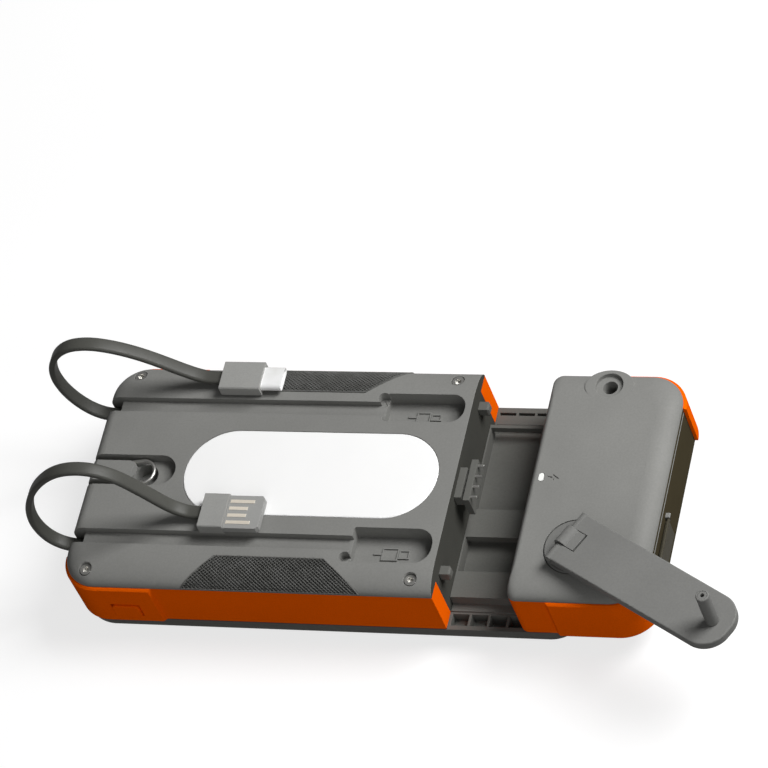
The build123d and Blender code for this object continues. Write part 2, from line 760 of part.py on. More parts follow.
def main_bumper(sign):
    body = main_skin() & block(-half_l - 9, cut_x + 1, -half_w - 9, half_w + 9, bumper_bottom, bumper_top)
    body += corner_cap(-half_l, -half_l + corner_zone, -1)
    body = body & main_zone(sign)
    for x in (screw_x_left, screw_x_right):
        body -= rod(x, sign * screw_y, bumper_bottom - 1, bumper_top + 1, screw_shank_d + screw_hole_gap)
    if sign < 0:
        half_x = button_length / 2 + button_gap
        half_z = button_height / 2 + button_gap
        body -= block(button_x - half_x, button_x + half_x, -half_w - 9, -wall_y + 1,
                      button_z - half_z, button_z + half_z)
    else:
        close = [-half_l + rib_close_start + rib_close_pitch * i for i in range(4)]
        spread = [-half_l + corner_zone + rib_wide_start + rib_wide_pitch * i for i in range(9)]
        body -= ribs(sign, close, half_w + bumper_proud)
        body -= ribs(sign, spread, half_w)
    return body


def grip_pad(sign):
    return (grip_outline(sign) & main_skin(grip_proud)) - main_skin(-grip_sink)


def lamp_diffuser():
    lens = stadium(lamp_x, 0, lamp_length - 2 * fit, lamp_width - 2 * fit,
                   body_height - lamp_thickness, body_height + lamp_proud)
    return fillet(lens.edges().group_by(Axis.Z)[-1], 0.4)


def lamp_led_board():
    z0 = inside_top - led_board_thickness
    plate = stadium(lamp_x, 0, lamp_length - 1, lamp_width - 1, z0, inside_top)
    return plate & block(cavity_x0 + fit, cut_x - wall - fit, -inside_y, inside_y, 0, body_height)


def lamp_leds():
    chips = []
    pitch = lamp_length / (led_column_count + lamp_ledge)
    half = led_size / 2
    for i in range(led_column_count):
        for j in range(led_row_count):
            x = lamp_x + (i - (led_column_count - 1) / 2) * pitch
            y = (j - (led_row_count - 1) / 2) * pitch
            chips.append(block(x - half, x + half, y - half, y + half, inside_top, inside_top + led_height))
    return Compound(children=chips)


def battery_cell(sign):
    y0, y1 = sorted((sign * 0.5, sign * (inside_y - 1)))
    pack = block(battery_x0, battery_x1, y0, y1, tray_floor, tray_floor + battery_height)
    return fillet(pack.edges().filter_by(Axis.X), battery_round)


def main_circuit_board():
    side = inside_y - board_side_gap
    top = board_z + board_thickness
    board = block(board_x0, board_x1, -side, side, board_z, top)
    for share, y, lx, ly in chip_spots:
        x = board_x0 + share * (board_x1 - board_x0)
        board += block(x - lx / 2, x + lx / 2, y - ly / 2, y + ly / 2, top - 0.1, top + chip_height)
    return board


def power_button():
    face = -half_w - bumper_proud - button_proud
    pad = block(button_x - button_length / 2, button_x + button_length / 2, face, -wall_y - 1.2,
                button_z - button_height / 2, button_z + button_height / 2)
    pad = fillet(pad.edges().filter_by(Axis.Y), 1.4)
    pad = fillet(pad.faces().sort_by(Axis.Y)[0].edges(), 0.5)
    return pad + rod_y(button_x, -wall_y - 1.5, -switch_face - button_travel - 0.15, button_z, button_stem_d)


def tact_switch():
    half = switch_size / 2
    y0 = -switch_face + button_travel
    body = block(button_x - half, button_x + half, y0, y0 + switch_depth, button_z - half, button_z + half)
    return body + rod_y(button_x, -switch_face, y0 + 0.1, button_z, button_stem_d)


def switch_board():
    y0 = -switch_face + button_travel + switch_depth
    half = switch_size / 2 + 2.5
    return block(button_x - half, button_x + half, y0, y0 + led_board_thickness, tray_floor, board_z)


def cover_screws():
    screws = []
    for x in (screw_x_left, screw_x_right):
        for y in (-screw_y, screw_y):
            seat = screw_head_top - screw_head_height
            head = rod(x, y, seat, screw_head_top, screw_head_d)
            socket = extrude(Pos(x, y, screw_head_top - 1.2) * RegularPolygon(1.05, 6), 3)
            shank = rod(x, y, screw_foot_z, seat + 0.1, screw_shank_d)
            screws.append(head - socket + shank)
    return Compound(children=screws)


def strain_relief(sign):
    y = sign * channel_y
    body = block(lead_exit_x, cavity_x0 + 0.2, y - relief_w / 2, y + relief_w / 2,
                 lead_exit_z - relief_h / 2, lead_exit_z + relief_h / 2)
    body = fillet(body.edges().filter_by(Axis.X), 1.0)
    x1 = cavity_x0 + fit
    flange = block(x1, x1 + 1.6, y - relief_w / 2 - relief_flange, y + relief_w / 2 + relief_flange,
                   lead_exit_z - relief_h / 2 - relief_flange, lead_exit_z + relief_h / 2 + relief_flange / 2)
    return body + flange


def dock_housing():
    half = dock_block_width / 2
    y0 = dock_plate_y - dock_plate_width / 2
    y1 = dock_plate_y + dock_plate_width / 2
    body = block(cut_x - dock_root, dock_neck_x, -half, half, dock_bottom, dock_top)
    body += block(dock_neck_x - 0.1, dock_plate_x, -half, half, dock_bottom, dock_top - 1.4)
    body += block(dock_plate_x - 0.1, dock_face_x, y0, y1, dock_bottom - 2.4, dock_top)
    body += block(dock_plate_x - 0.1, dock_face_x, y0, y0 + 2.4, dock_bottom - 3.6, dock_bottom)
    return body


def pin_spots():
    return [dock_plate_y + (i - (pin_count - 1) / 2) * pin_pitch for i in range(pin_count)]


def dock_pins():
    z = dock_top - pin_drop
    pins = [rod_x(dock_face_x, dock_face_x + pin_length, y, z, pin_d) for y in pin_spots()]
    return Compound(children=pins)


def locating_pegs():
    pegs = []
    for sign in (-1, 1):
        y = sign * peg_y
        peg = block(cut_x, cut_x + peg_length, y - peg_size / 2, y + peg_size / 2,
                    peg_z - peg_size / 2, peg_z + peg_size / 2)
        peg = chamfer(peg.faces().sort_by(Axis.X)[-1].edges(), 0.5)
        pegs.append(peg + rod_x(cut_x - wall, cut_x + 0.1, y, peg_z, peg_stem_d))
    return Compound(children=pegs)


# ---- leads ----
def lead_path(route):
    """Straight runs joined by arcs as large as the runs allow."""
    points = [Vector(*p) for p in route]
    radii = []
    for a, b, c in zip(points, points[1:], points[2:]):
        turn = radians((b - a).get_angle(c - b))
        run = min((b - a).length, (c - b).length)
        radii.append(0.45 * run / tan(turn / 2))
    print("   radii", [round(r, 1) for r in radii])
    return FilletPolyline(*points, radius=radii)


def lead(route):
    path = lead_path(route)
    start = Plane(path @ 0, x_dir=(0, 1, 0), z_dir=path % 0)
    ribbon = RectangleRounded(lead_width, lead_thickness, lead_corner)
    area = ribbon.area
    solid = sweep(start * ribbon, path=path)
    print(f"   length {path.length:.1f}  volume ratio {solid.volume / (area * path.length):.3f}")
    return solid


def usb_plug_body():
    x0 = usb_plug_x
    body = block(x0, x0 + usb_plug_length, usb_plug_y - usb_plug_width / 2, usb_plug_y + usb_plug_width / 2,
                 usb_plug_z - usb_plug_height / 2, usb_plug_z + usb_plug_height / 2)
    return chamfer(body.edges().filter_by(Axis.X), 0.3)


def usb_plug_tongue():
    x0 = usb_plug_x + usb_plug_length
    z0 = usb_plug_z - usb_tongue_height / 2
    y0 = usb_plug_y - usb_tongue_width / 2
    tongue = block(x0, x0 + usb_tongue_length, y0, y0 + usb_tongue_width, z0, z0 + usb_tongue_height)
    tip = tongue.faces().sort_by(Axis.X)[-1].edges().filter_by(Axis.Z)
    return chamfer(tip, 0.8)


def usb_plug_contacts():
    x0 = usb_plug_x + usb_plug_length + usb_contact_start
    z0 = usb_plug_z + usb_tongue_height / 2
    half = usb_contact_width / 2
    pads = []
    for i, length in enumerate(usb_contact_lengths):
        y = usb_plug_y + (i - (len(usb_contact_lengths) - 1) / 2) * usb_contact_pitch
        pads.append(block(x0, x0 + length, y - half, y + half, z0, z0 + usb_contact_thickness))
    return Compound(children=pads)


def small_plug_body():
    x0 = small_plug_x
    z0 = small_plug_z - small_plug_height / 2
    body = block(x0, x0 + small_plug_length, small_plug_y - small_plug_width / 2,
                 small_plug_y + small_plug_width / 2, z0, z0 + small_plug_height)
    return chamfer(body.edges().filter_by(Axis.X), 0.4)


def small_plug_shell():
    x0 = small_plug_x + small_plug_length
    z = small_plug_z
    face = Plane((x0, small_plug_y, z), x_dir=(0, 1, 0), z_dir=(1, 0, 0))
    tube = extrude(face * SlotOverall(small_shell_width, small_shell_height), small_shell_length)
    two_walls = 2 * small_shell_wall
    inner = face * SlotOverall(small_shell_width - two_walls, small_shell_height - two_walls)
    hollow = Pos(1.2, 0, 0) * extrude(inner, small_shell_length)
    return tube - hollow + extrude(face * Rectangle(*small_tongue_size), small_shell_length - 0.8)


# ---- crank module ----

def bolt_mark(x, y, z, size):
    """Small lightning bolt, as on any charging light."""
    points = [(0.25, 1), (-0.55, -0.1), (-0.05, -0.1), (-0.25, -1), (0.55, 0.15), (0.05, 0.15)]
    face = make_face(Polyline(*[(x + size * b, y - size * a) for a, b in points], close=True))
    return extrude(Pos(0, 0, z) * face, 3)


def stadium_y(x, y, length, width, z0, z1):
    """Long slot shape along Y."""
    return extrude(Pos(x, y, z0) * Rot(0, 0, 90) * SlotOverall(length, width), z1 - z0)


def socket_way(extra, z0, z1):
    """Upright cylinder on the knob socket's axis, wider than its tube by extra."""
    return rod(hub_x, socket_y, z0, z1, socket_tube + extra)


def crank_cover():
    cover = crank_skin()
    boss = Pos(hub_x, socket_y, bumper_top) * Ellipse(boss_radius, boss_reach)
    cover += extrude(boss, body_height - bumper_top)
    for sign in (-1, 1):
        cover -= crank_zone(sign, fit)
    inner_x = crank_x0 + wall
    cover -= block(inner_x, crank_x1 - end_wall, -inside_y, inside_y, 0, crank_ceiling)
    cover -= block(crank_x0 - 1, inner_x + 1, -wall_y, wall_y, 0, base_bottom)
    low = strip_height + slide_clearance
    cover -= block(crank_x0 - 1, crank_x1 - bumper_thickness, -wall_y, wall_y, 0, low)
    # knob socket
    cover += socket_way(0, socket_floor - 1.2, body_height)
    cover -= rod(hub_x, socket_y, socket_floor, body_height + 5, socket_bore)
    cover -= rod(hub_x, socket_y, body_height - counterbore_depth, body_height + 5, 2 * counterbore_radius)
    # hub seat
    cover += rod(hub_x, hub_y, hub_seat - wall, body_height - 0.5, 2 * hub_boss_r)
    cover -= rod(hub_x, hub_y, hub_seat, body_height + 5, 2 * hub_hole_r)
    cover -= rod(hub_x, hub_y, hub_seat - wall - 1, hub_seat + 1, hub_shaft_d + 2 * run_clearance)
    # posts and bearings
    for x in module_screw_x:
        for y in (-module_screw_y, module_screw_y):
            post = rod(x, y, base_top + fit, crank_ceiling + 0.1, post_d)
            hole = rod(x, y, 0, base_top + 9, module_screw_d + 2 * run_clearance)
            cover = cover + post - hole
    for x, y in ((idler_x, idler_y), (rotor_x, rotor_y)):
        cover += rod(x, y, crank_ceiling - 0.6, crank_ceiling + 0.1, axle_boss_d)
    cover -= rod(idler_x, idler_y, crank_ceiling - 1, crank_ceiling + 0.5, axle_d + 2 * run_clearance)
    # indicator and its mark
    cover -= stadium_y(light_x, light_y, light_length + 2 * fit, light_width + 2 * fit,
                       crank_ceiling - 1, body_height + 2)
    cover -= bolt_mark(icon_x, light_y, body_height - icon_depth, icon_size)
    # dock openings in the wall beside the gap
    half = dock_plate_width / 2 + 2 * slide_clearance
    cover -= block(crank_x0 - 1, inner_x + 1, dock_plate_y - half, dock_plate_y + half,
                   dock_bottom - 5.2, dock_top + slide_clearance)
    gap = peg_size / 2 + peg_hole_gap
    for sign in (-1, 1):
        y = sign * peg_y
        cover -= block(crank_x0 - 1, inner_x + 1, y - gap, y + gap, peg_z - gap, peg_z + gap)
    # port in the end wall, under the flap, and the groove line
    half = port_hole_width / 2
    cover -= block(crank_x1 - end_wall - 2, crank_x1 + 1, port_y - half, port_y + half,
                   port_z - port_hole_height / 2, port_z + port_hole_height / 2)
    groove_z = bumper_top - groove_drop
    cover -= block(crank_x1 - 0.5, crank_x1 + 1, -bumper_wrap, bumper_wrap, groove_z - groove_width, groove_z)
    for sign in (-1, 1):
        y = port_y + sign * (port_flap_width / 2 + 1.0)
        half = port_ear_width / 2
        ear = block(crank_x1 - 0.6, crank_x1 + 1.5, y - half, y + half, port_axis_z - 0.9, port_axis_z + 0.9)
        cover += fillet(ear.faces().sort_by(Axis.X)[-1].edges().filter_by(Axis.Y), 0.5)
        inner, outer = sorted((y - sign * (half + 0.1), y + sign * half / 2))
        cover -= rod_y(port_axis_x, inner, outer, port_axis_z, port_hinge_d + 2 * run_clearance)
    return cover


def crank_base():
    side = inside_y - fit
    base = block(keel_x0, crank_x1 - end_wall - 2 * fit, -side, side, base_bottom, base_top)
    z0 = recess_floor + slide_clearance
    foot_top = undercut_top - slide_clearance
    for y0, y1 in recess_bands:
        web0, web1 = y0 + web_inset, y1 - web_inset
        foot0, foot1 = y0 - undercut + slide_clearance, y1 + undercut - slide_clearance
        base += block(keel_x0, keel_x1, web0, web0 + web_thickness, z0, base_bottom + 0.1)
        base += block(keel_x0, keel_x1, web1 - web_thickness, web1, z0, base_bottom + 0.1)
        base += block(keel_x0, keel_x1, foot0, web0 + web_thickness, z0, foot_top)
        base += block(keel_x0, keel_x1, web1 - web_thickness, foot1, z0, foot_top)
    base += rod(hub_x, hub_y, base_top - 0.1, base_top + 4.0, 2 * pivot_d)
    base -= rod(hub_x, hub_y, pivot_bottom - 2 * fit, base_top + 9, pivot_d + 2 * run_clearance)
    for x in module_screw_x:
        for y in (-module_screw_y, module_screw_y):
            base -= rod(x, y, 0, base_top + 1, module_screw_d + 4 * fit)
            base -= rod(x, y, 0, base_bottom + fit + module_head_height, module_head_d + 4 * fit)
    for sign in (-1, 1):
        base -= crank_zone(sign, fit)
    return base - socket_way(2 * fit, 0, body_height)


def crank_bumper(sign):
    body = crank_skin() & block(crank_x0 - 1, crank_x1 + 9, -half_w - 9, half_w + 9,
                                bumper_bottom, bumper_top)
    body += corner_cap(crank_x1, crank_x1 - corner_zone, 1)
    body = body & crank_zone(sign)
    if sign > 0:
        body -= socket_way(2 * fit, 0, body_height)
        close = [crank_x1 - rib_close_start - rib_close_pitch * i for i in range(4)]
        body -= ribs(sign, close, half_w + bumper_proud)
        body -= ribs(sign, [crank_x1 - corner_zone - rib_wide_start], half_w)
    return body


def generator_can():
    """Open can with a lip; the rotor turns in it and its shaft comes out on top."""
    lid = generator_floor - 2 * fit
    can = rod(rotor_x, rotor_y, generator_bottom, generator_top, 2 * generator_radius)
    can = fillet(can.edges().group_by(Axis.Z)[-1], 0.6)
    can -= rod(rotor_x, rotor_y, generator_bottom + generator_floor, generator_top - lid,
               2 * (generator_radius - generator_floor))
    return can - rod(rotor_x, rotor_y, generator_top - lid - 1, generator_top + 1, shaft_hole)


def crank_circuit_board():
    x0 = crank_x0 + 9.4
    x1 = crank_x0 + 31
    y0 = rotor_y + generator_radius + 4.6
    y1 = socket_y - socket_tube / 2 - 1.15
    mid = (y0 + y1) / 2
    z0 = base_top + 3.0
    board = block(x0, x1, y0, y1, z0, z0 + 1.4)
    board += block(x0 + 4.6, x0 + 12.6, mid - 4, mid + 4, z0 + 1.3, z0 + 2.6)
    for x in (x0 + 3.6, x1 - 2):
        board += rod(x, mid + 2, base_top, z0 + 0.1, 3.6)
    return board


def dock_contacts():
    half = dock_plate_width / 2 + wall / 2
    plate = block(contact_x, contact_x + contact_plate_thickness, dock_plate_y - half, dock_plate_y + half,
                  base_top, dock_top - fit)
    wide, tall = contact_size
    top = dock_top - slide_clearance
    for y in pin_spots():
        plate += block(contact_x - 2 * fit, contact_x + 0.1, y - wide / 2, y + wide / 2, top - tall, top)
    return plate


def gear_axles():
    axle = rod(idler_x, idler_y, base_top, crank_ceiling - fit, axle_d)
    foot = rod(idler_x, idler_y, base_top, gear_z_low - 0.6, axle_boss_d)
    reach = 2 * (generator_radius + slide_clearance)
    clash = rod(rotor_x, rotor_y, 0, generator_top + slide_clearance, reach)
    return axle + (foot - clash)


def module_screws():
    screws = []
    z0 = base_bottom + fit
    z1 = z0 + module_head_height
    for x in module_screw_x:
        for y in (-module_screw_y, module_screw_y):
            head = rod(x, y, z0, z1, module_head_d)
            slot = block(x - 1.2, x + 1.2, y - 0.25, y + 0.25, 0, z0 + 0.4)
            cross = block(x - 0.25, x + 0.25, y - 1.2, y + 1.2, 0, z0 + 0.4)
            screws.append(head - slot - cross + rod(x, y, z1 - 0.1, base_top + 8, module_screw_d))
    return Compound(children=screws)


def indicator_light():
    lens = stadium_y(light_x, light_y, light_length, light_width, crank_ceiling - 0.4, body_height + 0.05)
    half_x, half_y = light_foot[0] / 2, light_foot[1] / 2
    return lens + block(light_x - half_x, light_x + half_x, light_y - half_y, light_y + half_y,
                        dock_top + slide_clearance, crank_ceiling - 0.02)


def port_connector():
    x1 = crank_x1 - 0.9
    wide, tall = port_shell
    face = Plane((x1, port_y, port_z), x_dir=(0, 1, 0), z_dir=(-1, 0, 0))
    shell = extrude(face * SlotOverall(wide, tall), port_depth)
    two_walls = 2 * port_shell_wall
    hollow = extrude(face * SlotOverall(wide - two_walls, tall - two_walls), port_depth - 1)
    tongue = extrude(face * Rectangle(*small_tongue_size), port_depth - 0.5)
    foot = block(x1 - port_depth, x1 - 2.5, port_y - wide / 2, port_y + wide / 2,
                 base_top, port_z - tall / 2 + 0.1)
    return shell + foot - hollow + tongue


def port_flap():
    x0 = crank_x1 + 0.1
    w = port_flap_width / 2
    h = port_flap_height / 2
    flap = block(x0, x0 + port_flap_thickness, port_y - w, port_y + w, port_z - h, port_z + h)
    flap = fillet(flap.edges().filter_by(Axis.X), 1.2)
    flap = fillet(flap.faces().sort_by(Axis.X)[-1].edges(), 0.4)
    inner_top = flap.faces().sort_by(Axis.X)[0].edges().filter_by(Axis.Y).sort_by(Axis.Z)[-1]
    flap = chamfer(inner_top, 0.35)
    plug = block(x0 - 0.7, x0 + 0.1, port_y - port_hole_width / 2 + 0.5, port_y + port_hole_width / 2 - 0.5,
                 port_z - port_hole_height / 2 + 0.5, port_z + port_hole_height / 2 - 0.5)
    pin = rod_y(port_axis_x, port_y - w - 0.55, port_y + w + 0.55, port_axis_z, port_hinge_d)
    return flap + plug + pin


# ---- crank ----
def arm_frame():
    """Hinge axis frame: X along the arm, Y along the hinge pin."""
    return Pos(hub_x, hub_y, 0) * Rot(0, 0, arm_azimuth)


def crank_hub():
    disc = rod(0, 0, hub_bottom, hub_top, hub_d)
    disc = chamfer(disc.edges().group_by(Axis.Z)[-1], 0.3)
    shaft = rod(0, 0, gear_z_high - 2 * fit, hub_bottom + 0.1, hub_shaft_d)
    lower = rod(0, 0, pivot_bottom, gear_z_high - fit, pivot_d)
    width = notch_width - 2 * knuckle_gap
    knuckle = Pos(hinge_u, 0, hinge_z) * Rot(90, 0, 0) * Cylinder(knuckle_d / 2, width)
    r = knuckle_d / 2
    foot = block(hinge_u - r, hinge_u + r, -width / 2, width / 2, hub_top - 0.5, hinge_z)
    stop = block(hinge_u - r - 0.6, hinge_u, -width / 2, width / 2, hub_top - 0.5, hinge_z - 1.4)
    t = arm_thickness / 2
    tongue = block(hinge_u, hinge_u + notch_depth - 2 * slide_clearance, -width / 2, width / 2,
                   hinge_z - t, hinge_z + t)
    hub = disc + shaft + lower + knuckle + foot + stop + tongue
    hub -= Pos(hinge_u, 0, hinge_z) * Rot(90, 0, 0) * Cylinder(hinge_pin_d / 2 + 0.01, width + 2)
    return arm_frame() * hub


def hinge_pin():
    pin = Pos(hinge_u, 0, hinge_z) * Rot(90, 0, 0) * Cylinder(hinge_pin_d / 2, arm_width - 0.6)
    return arm_frame() * pin


def crank_arm():
    t = arm_thickness / 2
    sheet = Pos(hinge_u + arm_length / 2, 0) * Rectangle(arm_length, arm_width)
    tip = sheet.vertices().group_by(Axis.X)[-1]
    sheet = fillet(tip, arm_corner)
    arm = extrude(Pos(0, 0, hinge_z - t) * sheet, arm_thickness)
    outline = arm.faces().sort_by(Axis.Z)[-1].edges() + arm.faces().sort_by(Axis.Z)[0].edges()
    outline = [e for e in outline if e.center().X > hinge_u + notch_depth]
    arm = fillet(outline, arm_edge_round)
    side = (arm_width - notch_width) / 2
    for sign in (-1, 1):
        y = sign * (arm_width / 2 - side / 2)
        arm += Pos(hinge_u, y, hinge_z) * Rot(90, 0, 0) * Cylinder(arm_knuckle_d / 2, side)
    arm -= block(hinge_u - 9, hinge_u + notch_depth, -notch_width / 2, notch_width / 2,
                 hinge_z - 5, hinge_z + 5)
    arm -= Pos(hinge_u, 0, hinge_z) * Rot(90, 0, 0) * Cylinder(hinge_pin_d / 2 + run_clearance, arm_width + 2)
    x = hinge_u + knob_reach
    arm -= rod(x, 0, hinge_z - 5, hinge_z + 5, knob_axle_d + 0.02)
    arm -= rod(x, 0, hinge_z - t - 1, hinge_z - t + 0.7, axle_head_d + fit)
    return arm_frame() * arm


def knob_axle():
    x = hinge_u + knob_reach
    z0 = hinge_z - arm_thickness / 2
    top = hinge_z + arm_thickness / 2 + knob_height
    axle = rod(x, 0, z0 + fit, top - 1.0, knob_axle_d)
    head = rod(x, 0, z0 + fit / 2, z0 + 0.7, axle_head_d)
    cap = rod(x, 0, top - 1.2, top - 0.1, axle_cap_d)
    eye = rod(x, 0, top - axle_eye_depth, top + 1, axle_eye_d)
    return arm_frame() * (axle + head + cap - eye)


def crank_knob():
    x = hinge_u + knob_reach
    z0 = hinge_z + arm_thickness / 2 + slide_clearance / 2
    z1 = hinge_z + arm_thickness / 2 + knob_height
    knob = rod(x, 0, z0, z1, knob_d)
    knob = fillet(knob.edges().group_by(Axis.Z)[-1], 0.4)
    knob -= rod(x, 0, z0 - 1, z1 + 1, knob_axle_d + 2 * run_clearance)
    knob -= rod(x, 0, z1 - 1.3, z1 + 1, axle_cap_d + 2 * run_clearance)
    return arm_frame() * knob


# ---- gears ----
def gear(teeth, z0, width, bore, turn=0.0):
    """Simple toothed wheel, its teeth cut shallow so that a pair runs free."""
    r = gear_module * teeth / 2
    tip = r + 0.35 * gear_module
    root = r - 1.05 * gear_module
    points = []
    for i in range(teeth):
        for part, radius in ((-0.30, root), (-0.16, tip), (0.16, tip), (0.30, root)):
            a = radians(turn + 360 * (i + part) / teeth)
            points.append((radius * cos(a), radius * sin(a)))
    wheel = extrude(Pos(0, 0, z0) * make_face(Polyline(*points, close=True)), width)
    return wheel - rod(0, 0, z0 - 1, z0 + width + 1, bore)


def main_gear():
    return Pos(hub_x, hub_y, 0) * gear(main_teeth, gear_z_high, gear_width, hub_shaft_d + 0.02)


def idler_gear():
    bore = axle_d + 2 * run_clearance
    upper = gear(pinion_teeth, gear_z_high - fit, gear_width + 2 * fit, bore, half_tooth)
    lower = gear(main_teeth, gear_z_low, gear_width - 2 * fit, bore)
    hub = rod(0, 0, gear_z_low, gear_z_high + gear_width + fit, 3.6) - rod(0, 0, 0, body_height, bore)
    return Pos(idler_x, idler_y, 0) * (upper + lower + hub)


def rotor():
    z0 = generator_bottom + generator_floor + generator_air
    z1 = generator_top - generator_floor - generator_air
    magnet = rod(0, 0, z0, z1, 2 * (generator_radius - generator_floor - generator_air))
    shaft = rod(0, 0, z0, gear_z_low + gear_width, knob_axle_d)
    pinion = gear(pinion_teeth, gear_z_low - fit, gear_width, 2 * gear_module, half_tooth)
    return Pos(rotor_x, rotor_y, 0) * (magnet + shaft + pinion)


# ---- write the sub-parts ----
put("tray_frame", tray_frame())
put("solar_panel", solar_panel())
put("solar_cells", solar_cells())
put("main_back_cover", main_back_cover())
for side, sign in (("near", -1), ("far", 1)):
    put(f"main_bumper_{side}", main_bumper(sign))
    put(f"grip_pad_{side}", grip_pad(sign))
    put(f"battery_cell_{side}", battery_cell(sign))
    put(f"crank_bumper_{side}", crank_bumper(sign))
put("lamp_diffuser", lamp_diffuser())
put("lamp_led_board", lamp_led_board())
put("lamp_leds", lamp_leds())
put("main_circuit_board", main_circuit_board())
put("power_button", power_button())
put("tact_switch", tact_switch())
put("switch_board", switch_board())
put("cover_screws", cover_screws())
put("lanyard_eyelet", eyelet(eyelet_wire))
put("strain_relief_usb", strain_relief(-1))
put("strain_relief_small", strain_relief(1))
put("usb_lead", lead(usb_lead_route))
put("usb_plug_body", usb_plug_body())
put("usb_plug_tongue", usb_plug_tongue())
put("usb_plug_contacts", usb_plug_contacts())
put("small_lead", lead(small_lead_route))
put("small_plug_body", small_plug_body())
put("small_plug_shell", small_plug_shell())
put("dock_housing", dock_housing())
put("dock_pins", dock_pins())
put("locating_pegs", locating_pegs())
put("crank_cover", crank_cover())
put("crank_base", crank_base())
put("generator_can", generator_can())
put("crank_circuit_board", crank_circuit_board())
put("dock_contacts", dock_contacts())
put("gear_axles", gear_axles())
put("module_screws", module_screws())
put("indicator_light", indicator_light())
put("port_connector", port_connector())
put("port_flap", port_flap())
put("crank_hub", crank_hub())
put("main_gear", main_gear())
put("hinge_pin", hinge_pin())
put("crank_arm", crank_arm())
put("knob_axle", knob_axle())
put("crank_knob", crank_knob())
put("idler_gear", idler_gear())
put("rotor", rotor())
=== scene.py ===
import json
import math

import bmesh
import bpy
from mathutils import Matrix, Vector


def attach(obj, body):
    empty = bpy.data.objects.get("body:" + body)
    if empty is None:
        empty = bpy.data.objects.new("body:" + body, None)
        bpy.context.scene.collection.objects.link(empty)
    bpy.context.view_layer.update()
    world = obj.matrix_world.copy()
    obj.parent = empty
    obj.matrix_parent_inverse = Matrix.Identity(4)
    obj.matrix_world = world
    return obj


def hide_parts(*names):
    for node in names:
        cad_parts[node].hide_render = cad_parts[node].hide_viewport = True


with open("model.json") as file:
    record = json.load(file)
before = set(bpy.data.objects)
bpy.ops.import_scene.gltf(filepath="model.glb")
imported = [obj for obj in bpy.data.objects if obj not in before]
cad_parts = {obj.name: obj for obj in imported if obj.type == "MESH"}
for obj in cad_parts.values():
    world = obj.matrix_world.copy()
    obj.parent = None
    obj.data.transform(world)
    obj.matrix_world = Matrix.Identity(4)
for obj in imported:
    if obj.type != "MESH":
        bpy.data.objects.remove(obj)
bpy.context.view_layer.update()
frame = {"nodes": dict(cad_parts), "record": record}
nodes = frame["nodes"]
scene = bpy.context.scene

MM = 0.001

# ---------------------------------------------------------------- camera
CAMERA_AT = (0.47757, -0.69441, 1.08968)
CAMERA_TO = (0.00273, 0.04450, 0.01500)
CAMERA_ROLL = -25.50                      # degrees about the viewing axis
CAMERA_LENS = 205.5
SENSOR_WIDTH = 36
CLIP_NEAR, CLIP_FAR = 0.05, 20


def looking(at, to):
    """Placement at one point, facing another."""
    aim = (Vector(to) - Vector(at)).to_track_quat("-Z", "Y").to_matrix().to_4x4()
    return Matrix.Translation(at) @ aim


camera_data = bpy.data.cameras.new("camera")
camera_data.lens = CAMERA_LENS
camera_data.sensor_width = SENSOR_WIDTH
camera_data.clip_start = CLIP_NEAR
camera_data.clip_end = CLIP_FAR
camera = bpy.data.objects.new("camera", camera_data)
scene.collection.objects.link(camera)
roll = Matrix.Rotation(math.radians(CAMERA_ROLL), 4, "Z")
camera.matrix_world = looking(CAMERA_AT, CAMERA_TO) @ roll
scene.camera = camera

# ---------------------------------------------------------------- dimensions shared with the solids, mm
BODY_TOP = 30.0
BUMPER_TOP = 25.6
HALF_W = 41.0
SHOULDER = 10.5                           # width of the rolled-off shoulder
POCKET_FLOOR = 24.4
LEAD_WIDTH = 4.6
LEAD_THICK = 2.0

USB_ROUTE = [
    (-78.0, -24.8, 23.7),
    (-82.5, -24.8, 23.7),
    (-87.3, -24.9, 26.2),
    (-90.6, -24.8, 31.0),
    (-91.9, -24.5, 38.6),
    (-90.0, -23.8, 47.4),
    (-84.6, -22.8, 55.8),
    (-76.4, -21.6, 61.6),
    (-67.2, -20.3, 61.2),
    (-59.6, -19.0, 55.2),
    (-54.6, -18.1, 47.2),
    (-50.5, -17.4, 40.0),
    (-47.8, -17.0, 35.8),
    (-44.8, -16.8, 33.3),
    (-41.8, -16.8, 32.15),
    (-38.4, -16.8, 32.15),
]
SMALL_ROUTE = [
    (-78.0, 24.8, 23.7),
    (-82.8, 24.8, 23.7),
    (-87.9, 25.0, 25.9),
    (-92.3, 25.5, 30.4),
    (-95.6, 26.2, 36.8),
    (-96.8, 27.2, 44.0),
    (-94.4, 28.1, 51.0),
    (-88.9, 29.1, 55.5),
    (-81.8, 30.2, 55.6),
    (-74.6, 31.5, 52.0),
    (-67.8, 32.6, 47.0),
    (-61.8, 33.2, 41.9),
    (-56.6, 33.5, 37.4),
    (-52.2, 33.6, 34.3),
    (-47.9, 33.6, 32.6),
    (-43.6, 33.6, 32.6),
]


# ---------------------------------------------------------------- mesh tools
def link(name, mesh, smooth=True):
    obj = bpy.data.objects.new(name, mesh)
    scene.collection.objects.link(obj)
    if smooth:
        for poly in mesh.polygons:
            poly.use_smooth = True
    return obj


def mesh_of(name, verts, faces, smooth=True):
    mesh = bpy.data.meshes.new(name)
    mesh.from_pydata([Vector(v) for v in verts], [], faces)
    mesh.validate()
    return link(name, mesh, smooth)


def face_outwards(obj, cut_large=False):
    """Turn every face outwards, once faces with more than four corners are cut up if asked."""
    bm = bmesh.new()
    bm.from_mesh(obj.data)
    if cut_large:
        bmesh.ops.triangulate(bm, faces=[f for f in bm.faces if len(f.verts) > 4])
    bmesh.ops.recalc_face_normals(bm, faces=bm.faces)
    bm.to_mesh(obj.data)
    bm.free()


